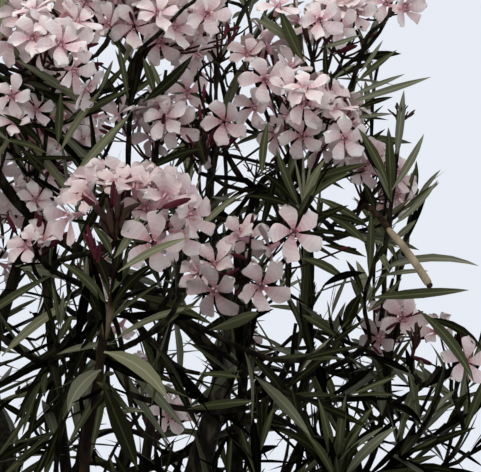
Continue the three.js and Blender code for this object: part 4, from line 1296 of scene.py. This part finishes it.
# Flower heads by the plant's rule: a neck, rays round it, and branches that end in flowers or buds
HEAD_SIZES = (0.9, 1.1)
BUD_HEAD_SHARE = 0.4
NECK_LENGTH = 0.016
NECK_SUNK = 0.004
NECK_RADIUS = 0.0019
RAY_COUNTS = (5, 7)
RAY_OPENING = (0.55, 1.0)
MIDDLE_RAY_OPENING = 0.12
BUD_RAY_SHARE = 0.5
RAY_LENGTH = (0.020, 0.034)
RAY_RADIUS = 0.0013
BRANCHES = 3
BRANCH_TURN = 2.1
BRANCH_OPENING = (0.45, 0.95)
BRANCH_RISE = 0.1
BRANCH_LENGTH = (0.010, 0.019)
BRANCH_RADIUS = 0.0010
OPEN_FLOWERS = 0.66
FACING_SPREAD = 0.22
FLAT_FLOWERS = 0.85
FLAT_LIFT = (0.05, 0.38)
CUPPED_LIFT = (0.6, 1.0)
FLOWER_SIZES = (0.92, 1.10)
FLOWER_SPIN = (0, 6.3)
TINT_SHARES = (0.70, 0.22, 0.08)
BUD_LENGTH = (0.010, 0.022)
TIP_BUD_LENGTH = (0.005, 0.011)


def head_of(twig, random, blooming):
    """Flowers, buds and stalks of the flower head at the end of one shoot."""
    tip, axis = twig.point(1.0), twig.way(1.0)
    flowers, buds, stalks = [], [], []
    size = random.uniform(*HEAD_SIZES) * (1.0 if blooming else BUD_HEAD_SHARE)
    neck = tip + axis * NECK_LENGTH * size
    stalks.append((tip - axis * NECK_SUNK, neck, NECK_RADIUS))
    rays = random.integers(*RAY_COUNTS)
    side = sideways(axis)
    turn = random.uniform(0, FULL_TURN)
    for ray in range(rays + 1):
        opening = MIDDLE_RAY_OPENING
        if ray < rays:
            opening = random.uniform(*RAY_OPENING) * (1.0 if blooming else BUD_RAY_SHARE)
        outward = turned(side, axis, turn + ray * FULL_TURN / rays)
        way = unit(axis * math.cos(opening) + outward * math.sin(opening))
        knee = neck + way * random.uniform(*RAY_LENGTH) * size
        stalks.append((neck, knee, RAY_RADIUS))
        for branch in range(BRANCHES):
            bend = turned(sideways(way), way, branch * BRANCH_TURN + ray)
            leaving = unit(way + bend * random.uniform(*BRANCH_OPENING) + UP * BRANCH_RISE)
            end = knee + leaving * random.uniform(*BRANCH_LENGTH) * size
            if in_openings(end, spare=BRANCH_SPARE):
                continue
            stalks.append((knee, end, BRANCH_RADIUS))
            if blooming and random.uniform() < OPEN_FLOWERS:
                facing = unit(leaving + random.normal(0, FACING_SPREAD, 3))
                lift = random.uniform(*(FLAT_LIFT if random.uniform() < FLAT_FLOWERS else CUPPED_LIFT))
                flowers.append({
                    "base": end, "facing": facing, "spin": random.uniform(*FLOWER_SPIN),
                    "size": random.uniform(*FLOWER_SIZES), "lift": lift,
                    "tint": random.choice(len(PETAL_TINTS), p=TINT_SHARES),
                })
            else:
                length = random.uniform(*(BUD_LENGTH if blooming else TIP_BUD_LENGTH))
                buds.append({"base": end, "way": leaving, "length": length, "closed": not blooming})
    return flowers, buds, stalks


# Flowers and buds of the front, placed one by one round their knots
STALK_RADIUS = 0.0014
FLOWER_STALK_RADIUS = 0.0011
STALK_SAG = 0.004
PLACED_LIFT = (0.08, 0.28)
ASIDE_LIFT = (0.05, 0.45)
ASIDE_DEGREES = 90
PLACED_BUD_FORWARD = 0.4
KNOT_BUDS = 7
KNOT_BUD_SPREAD = 0.45
KNOT_BUD_REACH = (0.018, 0.036)
KNOT_BUD_LENGTH = (0.012, 0.024)


def add_placed_flowers(knots, random, flowers, stalks):
    """The flowers that stand out at the front, each on a bent stalk from its knot."""
    for column, row, distance, right, upwards, size, knot in FRONT_FLOWERS:
        facing = facing_at(right, upwards)
        base = at_view(column, row, distance) - facing * TUBE_LENGTH * size
        start = knots[knot].point(1.0)
        bend = start + (base - start) * 0.5 - UP * STALK_SAG
        aside = (abs(right) + abs(upwards)) / ASIDE_DEGREES
        flowers.append({
            "base": base, "facing": facing, "spin": random.uniform(*FLOWER_SPIN), "size": size,
            "lift": random.uniform(*PLACED_LIFT) + random.uniform(*ASIDE_LIFT) * aside,
            # Painted shade: faces turned down take the next duller tint
            "tint": min(DULLEST_TINT, FRONT_TINTS[knot] + (upwards < SHADED_BELOW)),
        })
        stalks.append((start, bend, STALK_RADIUS))
        stalks.append((bend, base, FLOWER_STALK_RADIUS))


def add_placed_buds(knots, buds, stalks):
    first_closed, last_closed = CLOSED_BUD_ROWS
    for column, row, distance, right, upwards, millimetres, knot in FRONT_BUDS:
        way = facing_at(right, upwards, PLACED_BUD_FORWARD)
        length = millimetres * MM
        base = at_view(column, row, distance) - way * length / 2
        closed = knot == FOREGROUND_KNOT and first_closed < row < last_closed
        buds.append({"base": base, "way": way, "length": length, "closed": closed})
        stalks.append((knots[knot].point(1.0), base, FLOWER_STALK_RADIUS))


def add_knot_buds(knots, random, buds, stalks):
    for knot in knots:
        start, axis = knot.point(1.0), knot.way(1.0)
        for _ in range(KNOT_BUDS):
            way = unit(axis + random.normal(0, KNOT_BUD_SPREAD, 3))
            base = start + way * random.uniform(*KNOT_BUD_REACH)
            length = random.uniform(*KNOT_BUD_LENGTH)
            stalks.append((start, base, BRANCH_RADIUS))
            buds.append({"base": base, "way": way, "length": length, "closed": False})


# Buds, stalks and calyxes as short tubes: shares of the length, and of the thickness there
BUD_STATIONS = np.array([0, 0.18, 0.50, 0.84, 1.0])
BUD_OUTLINE = np.array([0.55, 0.85, 1.0, 0.74, 0.26])
BUD_SLENDERNESS = 0.13
BUD_SIDES = 6
STALK_OUTLINE = np.array([1.1, 1.0, 0.9])
STALK_SAG_SHARE = 0.05
STALK_SIDES = 4
CALYX_HEIGHTS = np.array([-0.0012, 0.0016, 0.0052])
CALYX_RADII = np.array([0.0010, 0.0022, 0.0017])
CALYX_SIDES = 5


def add_bud(stock, bud):
    chain = bud["base"] + bud["way"] * (BUD_STATIONS * bud["length"])[:, None]
    add_tube(stock, chain, BUD_OUTLINE * bud["length"] * BUD_SLENDERNESS, BUD_SIDES)


def add_stalk(stock, start, end, radius):
    middle = (start + end) / 2 - UP * np.linalg.norm(end - start) * STALK_SAG_SHARE
    add_tube(stock, np.array([start, middle, end]), STALK_OUTLINE * radius, STALK_SIDES)


def add_calyx(stock, flower):
    chain = flower["base"] + flower["facing"] * CALYX_HEIGHTS[:, None]
    add_tube(stock, chain, CALYX_RADII, CALYX_SIDES)


def gather_blossom(twigs, random):
    """All flowers, buds and stalks: those of the rule's heads first, then those of the front."""
    bearing = [twig for twig in twigs if twig.kind() in ("bloom", "tip")]
    heads = [head_of(twig, random, twig.kind() == "bloom") for twig in bearing]
    flowers, buds, stalks = ([item for part in parts for item in part] for parts in zip(*heads))
    throats = np.array([flower["base"] + flower["facing"] * TUBE_LENGTH for flower in flowers])
    dropped = in_openings(throats, spare=FLOWER_SPARE)
    flowers = [flower for flower, out in zip(flowers, dropped) if not out]
    knots = [twig for twig in twigs if twig.kind() == "knot"]
    places = [at_view(*knot) for knot in FLOWER_KNOTS]
    knots = [min(knots, key=lambda twig: np.linalg.norm(twig.point(1.0) - place)) for place in places]
    add_placed_flowers(knots, random, flowers, stalks)
    add_placed_buds(knots, buds, stalks)
    add_knot_buds(knots, random, buds, stalks)
    return flowers, buds, stalks


def dress_blossom(twigs, nodes):
    random = np.random.default_rng(19)
    flowers, buds, stalks = gather_blossom(twigs, random)
    for index, (name, rim, deep) in enumerate(PETAL_TINTS):
        stock = Stock()
        add_petals(stock, [flower for flower in flowers if flower["tint"] == index], random)
        materials = [
            petal_material(f"{name}_{band}", deep + (rim - deep) * share)
            for band, share in enumerate(PETAL_BAND_SHARES)
        ]
        show(stock, name, materials, nodes)
    throats = Stock()
    add_throats(throats, flowers)
    inside = [petal_material("throat", (0.60, 0.32, 0.34)), petal_material("corona", (0.78, 0.53, 0.54))]
    show(throats, "flower_throats", inside, nodes)
    open_stock, closed_stock, stalk_stock = Stock(), Stock(), Stock()
    for bud in buds:
        add_bud(closed_stock if bud["closed"] else open_stock, bud)
    for flower in flowers:
        add_calyx(stalk_stock, flower)
    for start, end, radius in stalks:
        add_stalk(stalk_stock, start, end, radius)
    for stock, name, skin, colour in (
        (open_stock, "buds", "bud_crimson", (0.062, 0.010, 0.015)),
        (closed_stock, "closed_buds", "bud_brown", (0.032, 0.016, 0.010)),
        (stalk_stock, "flower_stalks", "stalk_red_brown", (0.026, 0.009, 0.007)),
    ):
        show(stock, name, [bud_material(skin, colour)], nodes)


# An old pod on a broken stub, right of the middle: places in the view, then shares and radii in millimetres
POD_NODE = (388, 229, 1.42)
POD_END = (430, 286, 1.38)
STUB_FOOT = (364, 205, 1.46)
POD_PROFILE = ((0, 2.2), (0.06, 3.2), (0.2, 3.6), (0.9, 4.1), (0.97, 3.8), (1.0, 1.6))
STUB_PROFILE = ((0, 3.6), (0.5, 2.9), (0.9, 3.1), (1.0, 1.6))
CAP_PROFILE = np.array([(-1.0, 3.4), (0.2, 3.0), (1.2, 2.2), (1.8, 0.8)])
POD_RISE = 0.0035
POD_SEAM = 0.07
POD_FLUTES = 0.03
STUB_RISE = 0.004
STUB_LENGTH = 0.04
STUB_RELIEF = 0.09
STUB_SEED = 5
POD_RINGS = 25
POD_SIDES = 16
CAP_SIDES = 12


def add_arched_tube(stock, start, end, rise, profile, relief):
    """Adds a tube that arches from start to end, with its profile's radii and a relief (rings, around)."""
    shares = np.linspace(0, 1, len(relief))[:, None]
    chain = start * (1 - shares) + end * shares + UP * (rise * np.sin(shares * math.pi))
    radii = np.interp(shares, *np.array(profile).T) * MM
    add_tube(stock, chain, radii * relief, relief.shape[1])


def dress_seed_pod():
    node, end, foot = at_view(*POD_NODE), at_view(*POD_END), at_view(*STUB_FOOT)
    shares = np.linspace(0, 1, POD_RINGS)[:, None]
    angles = angles_round(POD_SIDES)[None]
    grooves = 1 + POD_SEAM * np.cos(2 * angles) + POD_FLUTES * np.cos(7 * angles + 9 * shares)
    pod = Stock()
    add_arched_tube(pod, node, end, POD_RISE, POD_PROFILE, grooves)
    skin, tree, shader = material("pod_skin", (0.32, 0.25, 0.15), roughness=0.7, specular=0.2)
    streaks = add_noise(tree, 90.0, detail=5.0, stretch=(1, 1, 0.4))
    add_mottle(tree, shader, streaks, ((0.17, 0.125, 0.075), (0.36, 0.29, 0.18)))
    show(pod, "seed_pod", [skin])
    ridges = 1 + STUB_RELIEF * waves(angles, shares * STUB_LENGTH, STUB_SEED)
    broken = Stock()
    add_arched_tube(broken, node, foot, STUB_RISE, STUB_PROFILE, ridges)
    cap = end + unit(end - node) * CAP_PROFILE[:, :1] * MM
    add_tube(broken, cap, CAP_PROFILE[:, 1] * MM, CAP_SIDES)
    bark, tree, shader = material("stub_bark", (0.016, 0.009, 0.006), roughness=0.85, specular=0.05)
    blotches = add_noise(tree, 120.0, detail=5.0)
    add_mottle(tree, shader, blotches, ((0.006, 0.004, 0.002), (0.040, 0.022, 0.013)))
    show(broken, "broken_stub", [bark])


# Pot and soil
AXIS_RADIUS = 0.0005
INNER_TOP = RIM_RADIUS - RIM_STEP - POT_WALL
INNER_FOOT = FOOT_RADIUS - POT_WALL
FOOT_EDGE = 0.006
UNDER_BAND_EDGE = 0.003
BAND_EDGE = 0.004
RIM_EDGE = 0.007
INNER_EDGE = 0.006
EDGE_STEPS = 4
POT_SIDES = 96
POT_STEP = 0.012
OUT_OF_ROUND = 0.0022
TURNING_MARKS = 0.0011
TURNING_WAVES = 420
SOIL_SIDES = 120
SOIL_RINGS = 46
SOIL_LUMPS = 14
LUMP_WAVES = (40, 420)
LUMP_SHIFTS = (0, 6)
LUMP_HEIGHTS = (0.0003, 0.0011)
EDGE_OF_LUMPS = 0.02
LEAST_LUMPS = 0.2
# The foot of the soil keeps just clear of the pot's wall and floor
SOIL_FOOT_SHARES = np.array([0.995, 0.995, 1.03])
CRUMBS = 620
CRUMB_SPREAD = 0.96
CRUMB_SIZES = (0.0015, 0.0050)
CRUMB_STATIONS = np.array([-1, -0.4, 0.5, 1])
CRUMB_OUTLINE = np.array([0.35, 0.9, 0.8, 0.3])
CRUMB_THICKNESS = (0.5, 0.9)
CRUMB_FLATNESS = (1, 1, 0.3)
CRUMB_SIDES = 5
CRUMBS_TO_ONE_OF_BARK = 5


def turned_rings(radii, heights, around):
    """Points (ring, around, 3) of a turned shape."""
    angles = angles_round(around)
    radii = np.asarray(radii)[:, None]
    heights = np.broadcast_to(np.asarray(heights)[..., None], (len(radii), around))
    return np.stack([radii * np.cos(angles), radii * np.sin(angles), heights], -1)


def rounded(corner, before, after, size):
    """An arc-like bend at a corner of a profile."""
    start = corner + unit(before - corner) * size
    end = corner + unit(after - corner) * size
    shares = np.linspace(0, 1, EDGE_STEPS)[:, None]
    return list(start * (1 - shares) ** 2 + corner * 2 * shares * (1 - shares) + end * shares ** 2)


def pot_profile():
    """Radii and heights of the pot's wall, up the outside and down the inside, in short steps."""
    band_foot = POT_HEIGHT - RIM_BAND
    under_band = RIM_RADIUS - RIM_STEP
    corners = np.array([
        (AXIS_RADIUS, 0.0), (FOOT_RADIUS, 0.0), (under_band, band_foot), (RIM_RADIUS, band_foot),
        (RIM_RADIUS, POT_HEIGHT), (INNER_TOP, POT_HEIGHT), (INNER_FOOT, POT_FLOOR), (AXIS_RADIUS, POT_FLOOR),
    ])
    edges = (FOOT_EDGE, UNDER_BAND_EDGE, BAND_EDGE, RIM_EDGE, INNER_EDGE, INNER_EDGE)
    profile = [corners[0]]
    for before, corner, after, edge in zip(corners, corners[1:], corners[2:], edges):
        profile += rounded(corner, before, after, edge)
    profile.append(corners[-1])
    fine = []
    for start, end in zip(profile, profile[1:]):
        steps = max(1, int(np.linalg.norm(end - start) / POT_STEP))
        fine += [start + (end - start) * step / steps for step in range(steps)]
    return np.array(fine + [profile[-1]]).T


def dress_pot():
    rings = turned_rings(*pot_profile(), POT_SIDES)
    height = rings[..., 2]
    out_of_round = OUT_OF_ROUND * np.sin(2 * angles_round(POT_SIDES) + 7 * height)
    turning_marks = TURNING_MARKS * np.sin(height * TURNING_WAVES)
    rings[..., :2] *= (1 + out_of_round + turning_marks)[..., None]
    sides = np.arange(POT_SIDES)
    underside, floor = sides[::-1][None], (sides + (len(rings) - 1) * POT_SIDES)[None]
    stock = Stock()
    stock.add(rings, grid_faces(len(rings), POT_SIDES, closed=True), underside, floor)
    show(stock, "clay_pot", [clay_material()], ["pot"])


def dress_soil():
    random = np.random.default_rng(3)
    filled = (SOIL_HEIGHT - POT_FLOOR) / (POT_HEIGHT - POT_FLOOR)
    surface = INNER_FOOT + (INNER_TOP - INNER_FOOT) * filled
    radii = np.linspace(AXIS_RADIUS, surface, SOIL_RINGS)
    flat = turned_rings(radii, SOIL_HEIGHT, SOIL_SIDES)
    ranges = (LUMP_WAVES, LUMP_SHIFTS, LUMP_WAVES, LUMP_SHIFTS, LUMP_HEIGHTS)
    draws = [random.uniform(*span, SOIL_LUMPS) for span in ranges]
    lumps = sum(
        np.sin(flat[..., 0] * across + shift) * np.sin(flat[..., 1] * along + slide) * height
        for across, shift, along, slide, height in zip(*draws))
    flat[..., 2] += lumps * np.clip((surface - radii[:, None]) / EDGE_OF_LUMPS, LEAST_LUMPS, 1)
    foot = turned_rings([INNER_FOOT], POT_FLOOR, SOIL_SIDES) * SOIL_FOOT_SHARES
    stock = Stock()
    stock.add(np.concatenate([flat, foot]), grid_faces(SOIL_RINGS + 1, SOIL_SIDES, closed=True))
    for crumb in range(CRUMBS):
        angle = random.uniform(0, FULL_TURN)
        distance = surface * CRUMB_SPREAD * math.sqrt(random.uniform())
        size = random.uniform(*CRUMB_SIZES)
        at = compass(math.degrees(angle), distance, SOIL_HEIGHT)
        way = unit(random.normal(0, 1, 3) * CRUMB_FLATNESS)
        chain = at + way * (CRUMB_STATIONS * size)[:, None]
        thickness = CRUMB_OUTLINE * size * random.uniform(*CRUMB_THICKNESS)
        add_tube(stock, chain, thickness, CRUMB_SIDES, slot=int(crumb % CRUMBS_TO_ONE_OF_BARK == 0))
    materials = [soil_material(), bud_material("bark_crumb", (0.075, 0.050, 0.032))]
    show(stock, "potting_soil", materials, ["soil"], smooth=False)


# Camera, light and floor
SKY_COLOUR = (0.80, 0.84, 0.91, 1)
KEY_PLACE = np.array([-1.4, -1.2, 4.2])
KEY_AIM = np.array([0.1, 0, 1.3])
KEY_SIZE = 2.6
KEY_POWER = 60
KEY_COLOUR = (1.0, 0.98, 0.95)
FLOOR_REACH = 24.0


def add_camera():
    camera = bpy.data.cameras.new("camera")
    camera.sensor_width = SENSOR_WIDTH
    camera.sensor_fit = "HORIZONTAL"
    camera.lens = SENSOR_WIDTH * FOCAL_PIXELS / VIEW_WIDTH
    camera.clip_end = CLIP_END
    view = link("camera", camera)
    view.location = CAMERA_PLACE
    view.rotation_euler = (math.pi / 2 + CAMERA_PITCH, 0, 0)
    bpy.context.scene.camera = view


def light_scene():
    """A pale sky, and one broad soft lamp from the upper left."""
    world = bpy.data.worlds.new("sky")
    world.use_nodes = True
    world.node_tree.nodes["Background"].inputs["Color"].default_value = SKY_COLOUR
    bpy.context.scene.world = world
    light = bpy.data.lights.new("key", "AREA")
    light.size = KEY_SIZE
    light.energy = KEY_POWER
    light.color = KEY_COLOUR
    lamp = link("key", light)
    lamp.location = KEY_PLACE
    back = unit(KEY_PLACE - KEY_AIM)
    lamp.rotation_euler = (math.acos(back[2]), 0, math.atan2(back[1], back[0]) + math.pi / 2)
    bpy.context.scene.view_settings.view_transform = "Standard"


def add_floor():
    made, tree, shader = material("pale_floor", (0.72, 0.73, 0.74), roughness=0.9)
    noise = add_noise(tree, 3.0, detail=3.0)
    add_mottle(tree, shader, noise, ((0.715, 0.725, 0.735), (0.725, 0.735, 0.745)))
    stock = Stock()
    corners = np.array([(-1, -1, 0), (1, -1, 0), (1, 1, 0), (-1, 1, 0)])
    stock.add(corners * FLOOR_REACH, [(0, 1, 2, 3)])
    link("floor", stock.mesh("floor", [made]))


def write_sizes():
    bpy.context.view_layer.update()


def main():
    foliage = [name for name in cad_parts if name.startswith("foliage")]
    stems, boughs, twigs = grow_plant()
    young = dress_limbs(stems, boughs)
    dress_twigs(twigs, young, foliage)
    dress_leaves(twigs, foliage)
    dress_blossom(twigs, foliage)
    dress_seed_pod()
    dress_pot()
    dress_soil()
    add_camera()
    light_scene()
    add_floor()
    write_sizes()


main()
